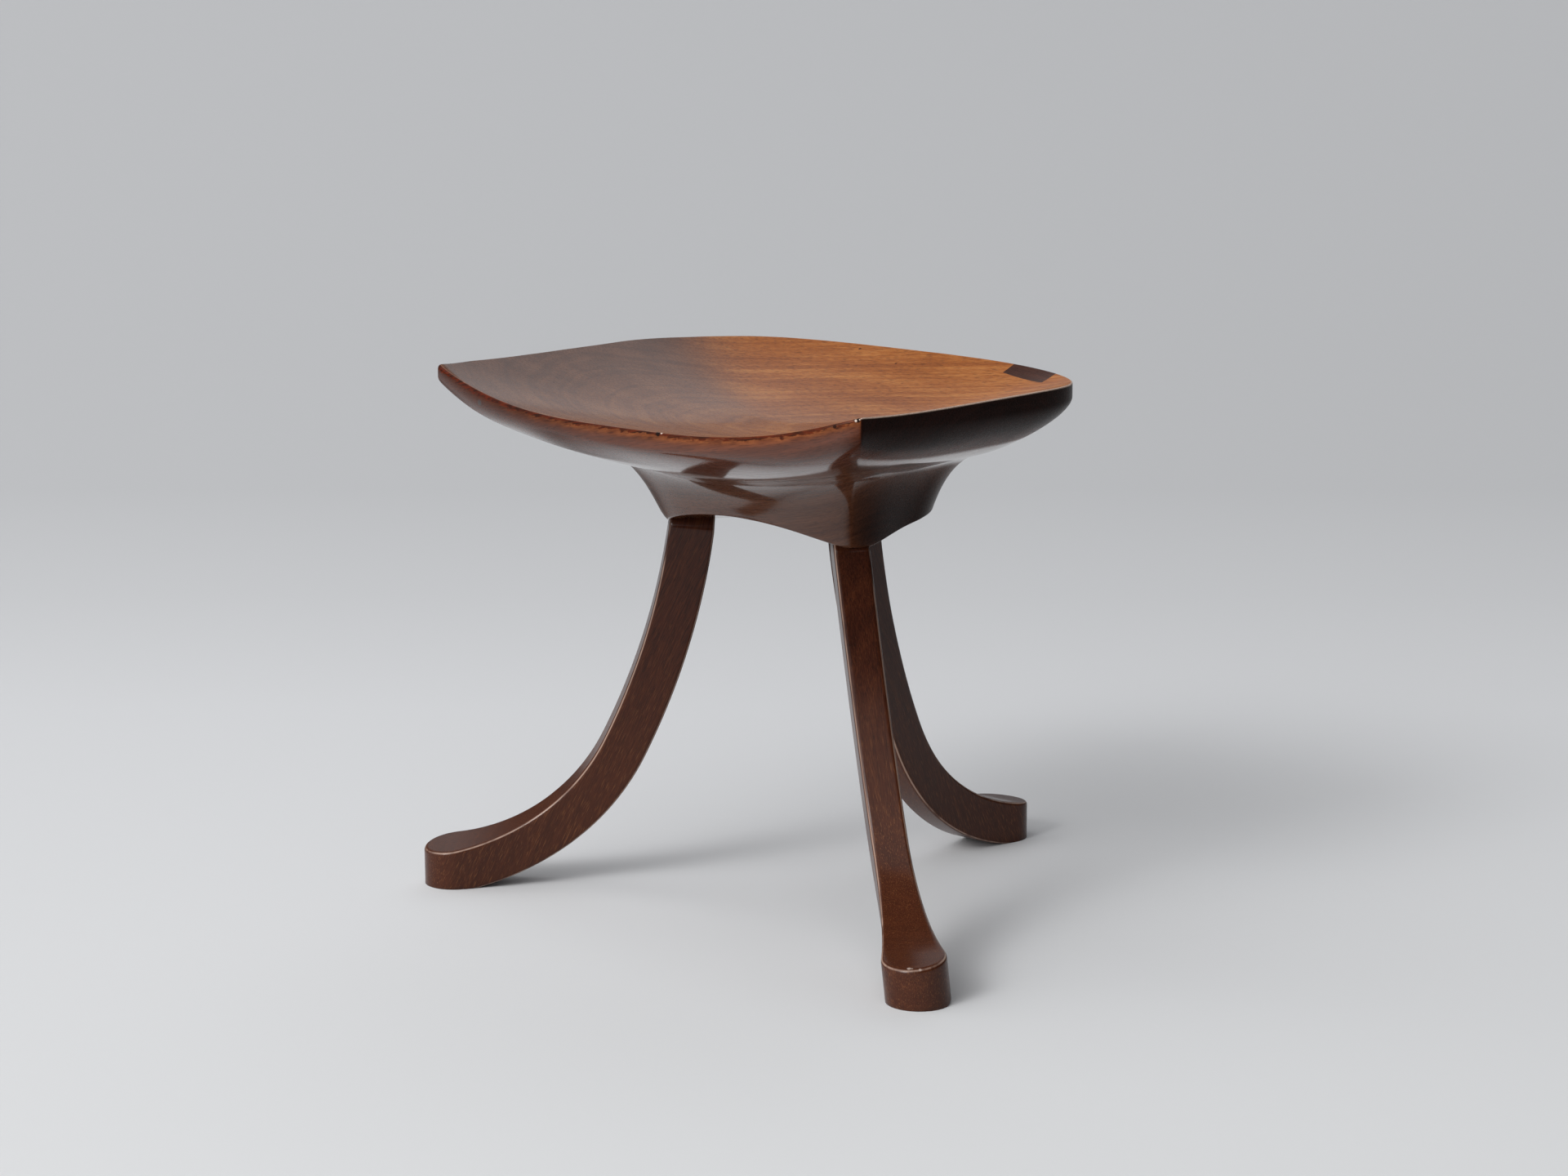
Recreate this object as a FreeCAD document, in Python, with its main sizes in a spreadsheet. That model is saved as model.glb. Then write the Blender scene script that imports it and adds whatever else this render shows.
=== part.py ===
"""Three-legged stool with a dished seat carved from one block and three curved, club-toed legs.

Each leg is tenoned into a blind mortise in the underside of the seat and spread there by a hidden wedge.
Millimetres, +Z up, the floor at Z = 0, the front of the seat towards -Y.
"""

import FreeCAD, Part
import math
import os

import Sketcher
from FreeCAD import Placement, Rotation, Vector

SIZES = {
    # Outline of the seat at its rim, in plan
    "seat_width": 358.0,
    "corner_y": -183.0,
    "front_bow": 16.5,
    "front_flat": 70.5,
    "front_corner_run": 39.0,
    "front_corner_rise": 12.0,
    "front_drop": 22.7,
    "front_corner_fall": 12.0,
    "side_end_y": -17.0,
    "side_drop": 4.9,
    "back_corner_depth": 77.2,
    "back_corner_width": 147.8,
    "seat_back_y": 64.0,
    # Outline of the boss where the legs meet it, in plan
    "boss_front_y": -86.0,
    "boss_front_run": 27.6,
    "boss_corner_run": 17.4,
    "boss_side_x": 80.7,
    "boss_side_y": -20.4,
    "boss_side_run": 23.2,
    "boss_back_run": 56.0,
    "boss_lip": 0.7,
    "boss_back_lip": 3.5,
    # Neck and bowl from the boss up to the upright edge of the seat, as heights above the boss
    "bowl_height": 96.5,
    "neck_pull": 6.1,
    "fold_height": 59.6,
    "fold_rise": 18.3,
    "edge_pull": 11.4,
    "crease_drop": 22.0,
    "nose_run": 35.0,
    "block_height": 124.0,
    # Scoops in the underside of the boss, between the legs
    "scoop_radius": 300.0,
    "scoop_slope": 10.0,
    "front_scoop_height": 9.4,
    "side_scoop_height": 4.9,
    # Dished top
    "dish_floor_height": 70.0,
    "dish_rise": 37.0,
    "dish_half_width": 190.0,
    "dish_front_depth": 226.0,
    "dish_back_depth": 128.0,
    "dish_center_y": -63.5,
    # Legs: two tangent bends, then a flat club toe
    "top_angle": 7.0,
    "bend_angle": 26.0,
    "foot_angle": 82.0,
    "upper_radius": 493.0,
    "lower_radius": 150.0,
    "toe_axis_height": 12.5,
    "leg_thickness": 30.0,
    "leg_width": 23.0,
    "toe_width": 40.0,
    "toe_flare": 90.0,
    "arris_radius": 2.5,
    # Where the legs stand in the boss, and how they splay
    "front_leg_x": 67.5,
    "front_leg_y": -62.5,
    "back_leg_y": 20.0,
    "front_leg_turn": 46.1,
    "front_leg_lean": 6.0,
    # Tenons, mortises and hidden wedges
    "tenon_depth": 20.0,
    "tenon_width": 14.0,
    "tenon_length": 38.0,
    "tenon_root": 4.0,
    "mortise_side_gap": 0.1,
    "mortise_end_gap": 0.3,
    "wedge_length": 24.0,
    "wedge_head": 3.0,
    "wedge_tip": 0.8,
    # Darker graft let into the rim at the back right corner
    "graft_side_inset": 58.0,
    "graft_back_inset": 9.1,
    "graft_turn": -14.0,
    "graft_length": 40.0,
    "graft_width": 17.0,
    "graft_depth": 10.0,
}

# Share of the way from boss outline to rim outline: at the first pull of the neck, at the fold between
# neck and bowl, how far the fold pulls the neck and the bowl, and where the corners are at their roundest
NECK_SPREAD = 0.066
FOLD_SPREAD = 0.48
NECK_RUN = 0.378
BOWL_RUN = 0.116
NOSE_SPREAD = 0.6
# Contour shape of the dish: rounder towards the front edge, squarer towards the back corners
FRONT_CONTOUR = 3.3
BACK_CONTOUR = 6.5
# Levels of the neck and of the bowl at which the outline of the seat is drawn, and their pitch above it
NECK_LEVELS = 7
BOWL_LEVELS = 7
EDGE_PITCH = 9.2
# Points each way over the dished surface
DISH_POINTS = 41
# Extra stock that later cuts take off
ALLOWANCE = 12.0
# Directions in plan, in degrees from +X: straight to the front and straight to the back
FRONT_HEADING = 270.0
BACK_HEADING = 90.0
# Two faces of a leg meet in an arris where the cosine between them is less than this
ARRIS_COSINE = 0.5

# Height of the boss above the floor: the drop of the two bends and of the toe
LEG_HEIGHT = (
    "(sizes.upper_radius * (sin(sizes.bend_angle) - sin(sizes.top_angle))"
    " + sizes.lower_radius * (sin(sizes.foot_angle) - sin(sizes.bend_angle))"
    " + sizes.toe_axis_height)"
)

# Distance from the middle of a shoulder out to the middle of the toe
LEG_REACH = (
    "(sizes.upper_radius * (cos(sizes.top_angle) - cos(sizes.bend_angle))"
    " + sizes.lower_radius * (cos(sizes.bend_angle) - cos(sizes.foot_angle)))"
)

doc = FreeCAD.newDocument("stool")


def make_sheet():
    """Write the driving dimensions into a spreadsheet, one named cell each."""
    sheet = doc.addObject("Spreadsheet::Sheet", "sizes")
    for row, (alias, value) in enumerate(SIZES.items(), start=1):
        sheet.set(f"A{row}", alias)
        sheet.set(f"B{row}", str(value))
        sheet.setAlias(f"B{row}", alias)
    doc.recompute()
    return sheet


sheet = make_sheet()


def size(alias):
    """Read one driving dimension back from the sheet."""
    return float(sheet.get(alias))


def sine(alias):
    """Sine of an angle in the sheet."""
    return math.sin(math.radians(size(alias)))


def cosine(alias):
    """Cosine of an angle in the sheet."""
    return math.cos(math.radians(size(alias)))


def leg_height():
    """Height of the boss above the floor, by the same rule as LEG_HEIGHT."""
    upper = size("upper_radius") * (sine("bend_angle") - sine("top_angle"))
    lower = size("lower_radius") * (sine("foot_angle") - sine("bend_angle"))
    return upper + lower + size("toe_axis_height")


def leg_reach():
    """Distance from shoulder to toe, by the same rule as LEG_REACH."""
    upper = size("upper_radius") * (cosine("top_angle") - cosine("bend_angle"))
    lower = size("lower_radius") * (cosine("bend_angle") - cosine("foot_angle"))
    return upper + lower


class Leg:
    """Place of one leg: where its shoulder meets the boss, which way it points and how far it leans."""

    def __init__(self, name, x, y, heading, lean):
        self.name = name
        self.x = x
        self.y = y
        self.heading = heading
        self.lean = lean

    def outward(self):
        """Unit vector in plan from the shoulder towards the toe."""
        angle = math.radians(self.heading)
        return Vector(math.cos(angle), math.sin(angle), 0)

    def across(self):
        """Unit vector in plan across the leg."""
        angle = math.radians(self.heading)
        return Vector(-math.sin(angle), math.cos(angle), 0)

    def shoulder(self):
        """Middle of the shoulder, on the underside of the boss."""
        return Vector(self.x, self.y, leg_height())

    def outer_face(self):
        """Middle of the leg's outer face where it meets the boss."""
        return self.shoulder() + self.outward() * (size("leg_thickness") / 2 / cosine("top_angle"))


LEGS = [
    Leg(
        "front_left",
        -size("front_leg_x"),
        size("front_leg_y"),
        FRONT_HEADING - size("front_leg_turn"),
        -size("front_leg_lean"),
    ),
    Leg(
        "front_right",
        size("front_leg_x"),
        size("front_leg_y"),
        FRONT_HEADING + size("front_leg_turn"),
        size("front_leg_lean"),
    ),
    Leg("back", 0.0, size("back_leg_y"), BACK_HEADING, 0.0),
]
FRONT_LEFT, FRONT_RIGHT, BACK = LEGS


def blend(start, end, share):
    """Point a share of the way from start to end."""
    return start + (end - start) * share


def mirrored(points):
    """The same curve on the other side of the stool, drawn the other way round."""
    return [Vector(-point.x, point.y, point.z) for point in reversed(points)]


def rim_outline():
    """Right half of the rim, as three cubic curves from front middle to back middle.

    Z holds how far each place lies below the level of the corners: the front edge and the sides sag.
    """
    half = size("seat_width") / 2
    corner = Vector(half, size("corner_y"), 0)
    front = Vector(0, size("corner_y") - size("front_bow"), -size("front_drop"))
    side_end = Vector(half, size("side_end_y"), -size("side_drop"))
    back = Vector(0, size("seat_back_y"), 0)
    corner_pull = Vector(size("front_corner_run"), size("front_corner_rise"), size("front_corner_fall"))
    side_pull = Vector(0, size("back_corner_depth"), 0)
    third = (side_end - corner) * (1 / 3)
    return [
        [front, front + Vector(size("front_flat"), 0, 0), corner - corner_pull, corner],
        [corner, corner + third, side_end - side_pull, side_end],
        [side_end, side_end + side_pull, back + Vector(size("back_corner_width"), 0, 0), back],
    ]


def boss_outline():
    """Right half of the boss in plan, rounded past the outer face of the front leg."""
    outward = FRONT_RIGHT.outward()
    along = FRONT_RIGHT.across()
    corner = FRONT_RIGHT.outer_face() + outward * size("boss_lip")
    corner.z = 0
    front = Vector(0, size("boss_front_y"), 0)
    side = Vector(size("boss_side_x"), size("boss_side_y"), 0)
    back = Vector(0, BACK.outer_face().y + size("boss_back_lip"), 0)
    corner_pull = along * size("boss_corner_run")
    side_pull = Vector(0, size("boss_side_run"), 0)
    front_pull = Vector(size("boss_front_run"), 0, 0)
    back_pull = Vector(size("boss_back_run"), 0, 0)
    return [
        [front, front + front_pull, corner - corner_pull, corner],
        [corner, corner + corner_pull, side - side_pull, side],
        [side, side + side_pull, back + back_pull, back],
    ]


def cubic(points, share):
    """Point at a share of the way along a cubic curve."""
    left = 1 - share
    weights = (left**3, 3 * left**2 * share, 3 * left * share**2, share**3)
    place = Vector()
    for point, weight in zip(points, weights):
        place += point * weight
    return place


def profile():
    """Spread and height above the boss at each level: a hollow neck, a fold, then a full bowl."""
    fold = Vector(FOLD_SPREAD, size("fold_height"), 0)
    fold_line = Vector(1, size("fold_rise"), 0)
    edge = Vector(1, size("bowl_height"), 0)
    neck = [Vector(), Vector(NECK_SPREAD, size("neck_pull"), 0), fold - fold_line * NECK_RUN, fold]
    bowl = [fold, fold + fold_line * BOWL_RUN, edge - Vector(0, size("edge_pull"), 0), edge]
    places = [cubic(neck, step / NECK_LEVELS) for step in range(NECK_LEVELS)]
    places += [cubic(bowl, step / BOWL_LEVELS) for step in range(BOWL_LEVELS + 1)]
    return [(place.x, place.y) for place in places]


def eased(share):
    """Share held between none and all of it, starting and ending gently."""
    share = min(1.0, max(0.0, share))
    return share * share * (3 - 2 * share)


def seat_section(spread, height, sag):
    """Closed outline of the seat at one height, between boss and rim, with its crease at the front corners.

    The sag is the share of the rim's own sag that the outline takes up at this height.
    """
    half = []
    for low, high in zip(boss_outline(), rim_outline()):
        points = [blend(a, b, spread) for a, b in zip(low, high)]
        for point, rim_point in zip(points, high):
            point.z = rim_point.z * sag
        half.append(points)
    crispness = eased(1 - (size("bowl_height") - height) / size("crease_drop"))
    front, side, back = half
    corner = side[0]
    reach = blend(size("boss_corner_run"), size("nose_run"), eased(spread / NOSE_SPREAD))
    smooth = (side[1] - front[2]).normalize() * reach
    front[2] = blend(corner - smooth, front[2], crispness)
    side[1] = blend(corner + smooth, side[1], crispness)
    curves = half + [mirrored(back), mirrored(side), mirrored(front)]
    lift = Vector(0, 0, leg_height() + height)
    edges = []
    for points in curves:
        curve = Part.BezierCurve()
        curve.setPoles([point + lift for point in points])
        edges.append(curve.toBSpline().toShape())
    return Part.Wire(edges)


def make_seat_block():
    """Block of the seat before it is dished: neck, bowl and upright edge in one loft."""
    wires = []
    for spread, height in profile():
        wires.append(seat_section(spread, height, height / size("bowl_height")))
    edge = size("block_height") - size("bowl_height")
    levels = math.ceil(edge / EDGE_PITCH)
    for step in range(1, levels + 1):
        share = step / levels
        height = size("bowl_height") + edge * share
        wires.append(seat_section(1.0, height, 1 - share))
    block = doc.addObject("Part::Feature", "seat_block")
    block.Shape = Part.makeLoft(wires, True, False)
    block.Placement = Placement()
    return block


def dish_height(x, y):
    """Height of the dished top above the boss at one place."""
    across = abs(x) / size("dish_half_width")
    behind = y > size("dish_center_y")
    depth = size("dish_back_depth") if behind else size("dish_front_depth")
    contour = BACK_CONTOUR if behind else FRONT_CONTOUR
    along = abs(y - size("dish_center_y")) / depth
    return size("dish_floor_height") + size("dish_rise") * (across**contour + along**contour) ** (2 / contour)


def make_dish():
    """Waste above the dished top, which is cut away from the block."""
    half = size("seat_width") / 2 + ALLOWANCE
    front = size("corner_y") - size("front_bow") - ALLOWANCE
    back = size("seat_back_y") + ALLOWANCE
    rows = []
    for i in range(DISH_POINTS):
        x = -half + 2 * half * i / (DISH_POINTS - 1)
        row = []
        for j in range(DISH_POINTS):
            y = front + (back - front) * j / (DISH_POINTS - 1)
            row.append(Vector(x, y, leg_height() + dish_height(x, y)))
        rows.append(row)
    surface = Part.BSplineSurface()
    surface.interpolate(rows)
    waste = doc.addObject("Part::Feature", "dish_waste")
    waste.Shape = surface.toShape().extrude(Vector(0, 0, size("block_height")))
    waste.Placement = Placement()
    return waste


def make_scoop(name, first, second, height_alias):
    """Round scoop that arches up the underside of the boss between two neighbouring legs."""
    start = first.outer_face()
    end = second.outer_face()
    chord = end - start
    outward = Vector(chord.y, -chord.x, 0).normalize()
    slope = math.radians(size("scoop_slope"))
    axis = outward * math.cos(slope) + Vector(0, 0, math.sin(slope))
    upright = Vector(0, 0, math.cos(slope)) - outward * math.sin(slope)
    scoop = doc.addObject("Part::Cylinder", "scoop_" + name)
    scoop.setExpression("Radius", "sizes.scoop_radius")
    scoop.setExpression("Height", "sizes.seat_width")
    crown = blend(start, end, 0.5) + Vector(0, 0, size(height_alias))
    base = crown - upright * size("scoop_radius") - axis * (size("seat_width") / 2)
    scoop.Placement = Placement(base, Rotation(Vector(0, 0, 1), axis))
    return scoop


def make_mortise(leg):
    """Blind mortise in the boss for one tenon, with room for glue around it."""
    mortise = doc.addObject("Part::Box", "mortise_" + leg.name)
    mortise.setExpression("Length", "sizes.tenon_depth + 2 * sizes.mortise_side_gap")
    mortise.setExpression("Width", "sizes.tenon_width + 2 * sizes.mortise_side_gap")
    mortise.setExpression("Height", "sizes.tenon_length + sizes.mortise_end_gap")
    side_gap = size("mortise_side_gap")
    depth = size("tenon_depth") / 2 + side_gap
    width = size("tenon_width") / 2 + side_gap
    corner = leg.shoulder() - leg.outward() * depth - leg.across() * width
    mortise.Placement = Placement(corner, Rotation(Vector(0, 0, 1), leg.heading))
    return mortise


def make_graft_cutter():
    """Block that marks out the graft at the back right of the rim."""
    cutter = doc.addObject("Part::Box", "graft_cutter")
    cutter.setExpression("Length", "sizes.graft_length")
    cutter.setExpression("Width", "sizes.graft_width")
    cutter.setExpression("Height", "sizes.block_height")
    turn = Rotation(Vector(0, 0, 1), size("graft_turn"))
    side = size("seat_width") / 2
    middle = Vector(side - size("graft_side_inset"), size("seat_back_y") - size("graft_back_inset"), 0)
    rim = leg_height() + dish_height(middle.x, middle.y)
    corner = middle - turn.multVec(Vector(size("graft_length") / 2, size("graft_width") / 2, 0))
    corner.z = rim - size("graft_depth")
    cutter.Placement = Placement(corner, turn)
    return cutter


def make_scoops():
    """The three scoops, one between each two neighbouring legs."""
    return [
        make_scoop("front", FRONT_LEFT, FRONT_RIGHT, "front_scoop_height"),
        make_scoop("right", FRONT_RIGHT, BACK, "side_scoop_height"),
        make_scoop("left", BACK, FRONT_LEFT, "side_scoop_height"),
    ]


def make_seat(scoops):
    """Seat and the graft in its rim: the block, dished, scooped, mortised and let in for the graft."""
    carved = make_seat_block()
    mortises = [make_mortise(leg) for leg in LEGS]
    for waste in [make_dish()] + scoops + mortises:
        cut = doc.addObject("Part::Cut", "seat_less_" + waste.Name)
        cut.Base = carved
        cut.Tool = waste
        carved = cut
    cutter = make_graft_cutter()
    seat = doc.addObject("Part::Cut", "seat")
    seat.Base = carved
    seat.Tool = cutter
    graft = doc.addObject("Part::Common", "rim_patch")
    graft.Base = carved
    graft.Tool = cutter
    return [seat, graft]


def plane_of(body, role):
    """One of a body's own origin planes."""
    for feature in body.Origin.OriginFeatures:
        if feature.Role == role:
            return feature
    raise LookupError(role)


def new_sketch(body, name, role):
    """Empty sketch on one of a body's own origin planes."""
    sketch = body.newObject("Sketcher::SketchObject", name)
    sketch.AttachmentSupport = [(plane_of(body, role), "")]
    sketch.MapMode = "FlatFace"
    return sketch


def bind(sketch, constraint, expression):
    """Add a driving constraint to a sketch and tie it to the sheet."""
    index = sketch.addConstraint(constraint)
    sketch.setExpression(f"Constraints[{index}]", expression)


def draw_profile(body, name):
    """Side view of a leg in its own plane: concentric bends above and below, closed by shoulder and toe."""
    sketch = new_sketch(body, "profile_" + name, "XZ_Plane")
    half = size("leg_thickness") / 2
    top, bend, foot = (math.radians(size(a)) for a in ("top_angle", "bend_angle", "foot_angle"))
    upper, lower = size("upper_radius"), size("lower_radius")
    upper_middle = Vector(upper * math.cos(top), upper * math.sin(top), 0)
    offset = Vector(math.cos(bend), math.sin(bend), 0) * (upper - lower)
    lower_middle = upper_middle - offset
    up = Vector(-math.sin(top), math.cos(top), 0)
    run = size("toe_width") / 2 + ALLOWANCE
    ahead = Vector(math.sin(foot), -math.cos(foot), 0) * run

    def bend_arc(middle, radius, start, end):
        circle = Part.Circle(middle, Vector(0, 0, 1), radius)
        return sketch.addGeometry(Part.ArcOfCircle(circle, math.pi + start, math.pi + end))

    def line(start, end):
        return sketch.addGeometry(Part.LineSegment(start, end))

    def on_bend(middle, radius, angle):
        return middle - Vector(math.cos(angle), math.sin(angle), 0) * radius

    outer_upper = bend_arc(upper_middle, upper - half, top, bend)
    outer_lower = bend_arc(lower_middle, lower - half, bend, foot)
    inner_lower = bend_arc(lower_middle, lower + half, bend, foot)
    inner_upper = bend_arc(upper_middle, upper + half, top, bend)
    outer_toe_start = on_bend(lower_middle, lower - half, foot)
    inner_toe_start = on_bend(lower_middle, lower + half, foot)
    outer_top = on_bend(upper_middle, upper - half, top)
    inner_top = on_bend(upper_middle, upper + half, top)
    outer_toe = line(outer_toe_start, outer_toe_start + ahead)
    toe_end = line(outer_toe_start + ahead, inner_toe_start + ahead)
    inner_toe = line(inner_toe_start + ahead, inner_toe_start)
    inner_stub = line(inner_top, inner_top + up * ALLOWANCE)
    head = line(inner_top + up * ALLOWANCE, outer_top + up * ALLOWANCE)
    outer_stub = line(outer_top + up * ALLOWANCE, outer_top)

    start, end, middle = 1, 2, 3
    joints = [
        ("Tangent", outer_upper, end, outer_lower, start),
        ("Tangent", outer_lower, end, outer_toe, start),
        ("Coincident", outer_toe, end, toe_end, start),
        ("Coincident", toe_end, end, inner_toe, start),
        ("Tangent", inner_toe, end, inner_lower, end),
        ("Tangent", inner_lower, start, inner_upper, end),
        ("Tangent", inner_upper, start, inner_stub, start),
        ("Coincident", inner_stub, end, head, start),
        ("Coincident", head, end, outer_stub, start),
        ("Tangent", outer_stub, end, outer_upper, start),
        ("Coincident", inner_upper, middle, outer_upper, middle),
        ("Coincident", inner_lower, middle, outer_lower, middle),
        ("Perpendicular", toe_end, outer_toe),
        ("Perpendicular", head, outer_stub),
    ]
    for joint in joints:
        sketch.addConstraint(Sketcher.Constraint(*joint))
    origin = -1
    bind(
        sketch,
        Sketcher.Constraint("DistanceX", origin, start, outer_upper, middle, upper_middle.x),
        "sizes.upper_radius * cos(sizes.top_angle)",
    )
    bind(
        sketch,
        Sketcher.Constraint("DistanceY", origin, start, outer_upper, middle, upper_middle.y),
        "sizes.upper_radius * sin(sizes.top_angle)",
    )
    bind(
        sketch,
        Sketcher.Constraint("DistanceX", outer_lower, middle, outer_upper, middle, offset.x),
        "(sizes.upper_radius - sizes.lower_radius) * cos(sizes.bend_angle)",
    )
    bind(
        sketch,
        Sketcher.Constraint("DistanceY", outer_lower, middle, outer_upper, middle, offset.y),
        "(sizes.upper_radius - sizes.lower_radius) * sin(sizes.bend_angle)",
    )
    bind(
        sketch,
        Sketcher.Constraint("Radius", outer_upper, upper - half),
        "sizes.upper_radius - sizes.leg_thickness / 2",
    )
    bind(
        sketch,
        Sketcher.Constraint("Radius", inner_upper, upper + half),
        "sizes.upper_radius + sizes.leg_thickness / 2",
    )
    return sketch


def draw_outline(body, name):
    """Waste beside a leg seen from above: everything in a frame but the leg, its flare and its round toe."""
    sketch = new_sketch(body, "outline_" + name, "XY_Plane")
    half = size("leg_width") / 2
    toe = size("toe_width") / 2
    flare = size("toe_flare")
    toe_middle = Vector(leg_reach(), 0, 0)
    flare_start = leg_reach() - flare
    flare_radius = (flare * flare - toe * toe + half * half) / (2 * (toe - half))
    flare_middle = Vector(flare_start, half + flare_radius, 0)
    touch = (flare_middle - toe_middle).normalize()
    swing = math.atan2(touch.y, touch.x)
    back = -size("leg_thickness") - ALLOWANCE * 2
    ahead = leg_reach() + size("toe_width") + ALLOWANCE
    wide = size("toe_width") + ALLOWANCE

    def line(x0, y0, x1, y1):
        return sketch.addGeometry(Part.LineSegment(Vector(x0, y0, 0), Vector(x1, y1, 0)))

    def arc(middle, radius, first, last):
        circle = Part.Circle(middle, Vector(0, 0, 1), radius)
        return sketch.addGeometry(Part.ArcOfCircle(circle, first, last))

    right_angle = math.pi / 2
    near_flare = Vector(flare_start, -flare_middle.y, 0)
    far_side = line(back, half, flare_start, half)
    far_flare = arc(flare_middle, flare_radius, -right_angle, swing - math.pi)
    toe_arc = arc(toe_middle, toe, -swing, swing)
    close_flare = arc(near_flare, flare_radius, math.pi - swing, right_angle)
    near_side = line(flare_start, -half, back, -half)
    end = line(back, -half, back, half)
    corners = [(back * 2, -wide), (ahead, -wide), (ahead, wide), (back * 2, wide)]
    frame = [line(*corners[i], *corners[(i + 1) % 4]) for i in range(4)]

    first, last, middle = 1, 2, 3
    origin = x_axis = -1
    joints = [
        ("Tangent", far_side, last, far_flare, first),
        ("Tangent", far_flare, last, toe_arc, last),
        ("Tangent", toe_arc, first, close_flare, first),
        ("Tangent", close_flare, last, near_side, first),
        ("Coincident", near_side, last, end, first),
        ("Coincident", end, last, far_side, first),
        ("Horizontal", far_side),
        ("Horizontal", near_side),
        ("Vertical", end),
        ("PointOnObject", toe_arc, middle, x_axis),
        ("Symmetric", far_side, last, near_side, first, x_axis),
    ]
    joints += [("Coincident", frame[i], last, frame[(i + 1) % 4], first) for i in range(4)]
    joints += [("Horizontal", frame[i]) for i in (0, 2)]
    joints += [("Vertical", frame[i]) for i in (1, 3)]
    for joint in joints:
        sketch.addConstraint(Sketcher.Constraint(*joint))
    drive = Sketcher.Constraint
    bind(sketch, drive("DistanceX", origin, first, toe_arc, middle, leg_reach()), LEG_REACH)
    bind(sketch, drive("Radius", toe_arc, toe), "sizes.toe_width / 2")
    bind(sketch, drive("DistanceY", near_side, first, far_side, last, 2 * half), "sizes.leg_width")
    bind(sketch, drive("DistanceX", far_side, last, toe_arc, middle, flare), "sizes.toe_flare")
    return sketch


def arrises(shape, top):
    """Names of the long edges of a leg, where a flat or bent face meets a side, below a given height."""
    names = []
    for number, edge in enumerate(shape.Edges, start=1):
        faces = shape.ancestorsOfType(edge, Part.Face)
        middle = edge.valueAt((edge.FirstParameter + edge.LastParameter) / 2)
        normals = [face.normalAt(*face.Surface.parameter(middle)) for face in faces]
        on_head = any(face.BoundBox.ZMin > top for face in faces)
        if abs(normals[0].dot(normals[1])) < ARRIS_COSINE and not on_head:
            names.append(f"Edge{number}")
    return names


def make_leg_blank(leg):
    """Leg sawn to shape with its arrises eased, before its ends are trimmed level."""
    body = doc.addObject("PartDesign::Body", "blank_" + leg.name)
    sawn = body.newObject("PartDesign::Pad", "sawn_" + leg.name)
    sawn.Profile = draw_profile(body, leg.name)
    sawn.setExpression("Length", "sizes.toe_width + sizes.leg_width")
    sawn.Midplane = True
    shaped = body.newObject("PartDesign::Pocket", "shaped_" + leg.name)
    shaped.Profile = draw_outline(body, leg.name)
    shaped.Type = "ThroughAll"
    shaped.Midplane = True
    doc.recompute()
    eased = body.newObject("PartDesign::Fillet", "eased_" + leg.name)
    eased.Base = (shaped, arrises(shaped.Shape, 0.0))
    eased.setExpression("Radius", "sizes.arris_radius")
    body.Tip = eased
    turn = Rotation(Vector(0, 0, 1), leg.heading)
    body.Placement = Placement(leg.shoulder(), turn * Rotation(Vector(1, 0, 0), leg.lean))
    return body


def make_storey(name, height, level):
    """Wide level slab of space, from one level up."""
    storey = doc.addObject("Part::Box", name)
    storey.setExpression("Length", "2 * sizes.seat_width")
    storey.setExpression("Width", "2 * sizes.seat_width")
    storey.setExpression("Height", height)
    storey.Placement = Placement(Vector(-size("seat_width"), -size("seat_width"), level), Rotation())
    return storey


def make_room(scoops):
    """Space between floor and seat, which trims soles level and fits shoulders to the scooped boss."""
    below = make_storey("room_below_boss", LEG_HEIGHT, 0.0)
    above = make_storey("room_above_boss", "sizes.block_height", leg_height())
    hollows = []
    for scoop in scoops:
        hollow = doc.addObject("Part::Common", "hollow_of_" + scoop.Name)
        hollow.Base = scoop
        hollow.Tool = above
        hollows.append(hollow)
    room = doc.addObject("Part::MultiFuse", "room_under_seat")
    room.Shapes = [below] + hollows
    return room


def make_tenon(leg):
    """Upright tenon on top of a leg, rooted a little below the shoulder."""
    tenon = doc.addObject("Part::Box", "tenon_" + leg.name)
    tenon.setExpression("Length", "sizes.tenon_depth")
    tenon.setExpression("Width", "sizes.tenon_width")
    tenon.setExpression("Height", "sizes.tenon_length + sizes.tenon_root")
    root = Vector(0, 0, size("tenon_root"))
    corner = leg.shoulder() - root - leg.outward() * (size("tenon_depth") / 2)
    corner = corner - leg.across() * (size("tenon_width") / 2)
    tenon.Placement = Placement(corner, Rotation(Vector(0, 0, 1), leg.heading))
    return tenon


def make_wedge(leg):
    """Hidden wedge driven into the saw kerf in the top of a tenon."""
    wedge = doc.addObject("Part::Wedge", "wedge_" + leg.name)
    limits = {
        "Xmin": "-sizes.wedge_tip / 2",
        "Xmax": "sizes.wedge_tip / 2",
        "X2min": "-sizes.wedge_head / 2",
        "X2max": "sizes.wedge_head / 2",
        "Ymin": "sizes.tenon_length - sizes.wedge_length",
        "Ymax": "sizes.tenon_length",
        "Zmin": "-sizes.tenon_width / 2",
        "Zmax": "sizes.tenon_width / 2",
        "Z2min": "-sizes.tenon_width / 2",
        "Z2max": "sizes.tenon_width / 2",
    }
    for limit, expression in limits.items():
        wedge.setExpression(limit, expression)
    upright = Vector(0, 0, 1)
    turn = Rotation(leg.outward(), upright, leg.across() * -1, "XYZ")
    wedge.Placement = Placement(leg.shoulder(), turn)
    return wedge


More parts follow.
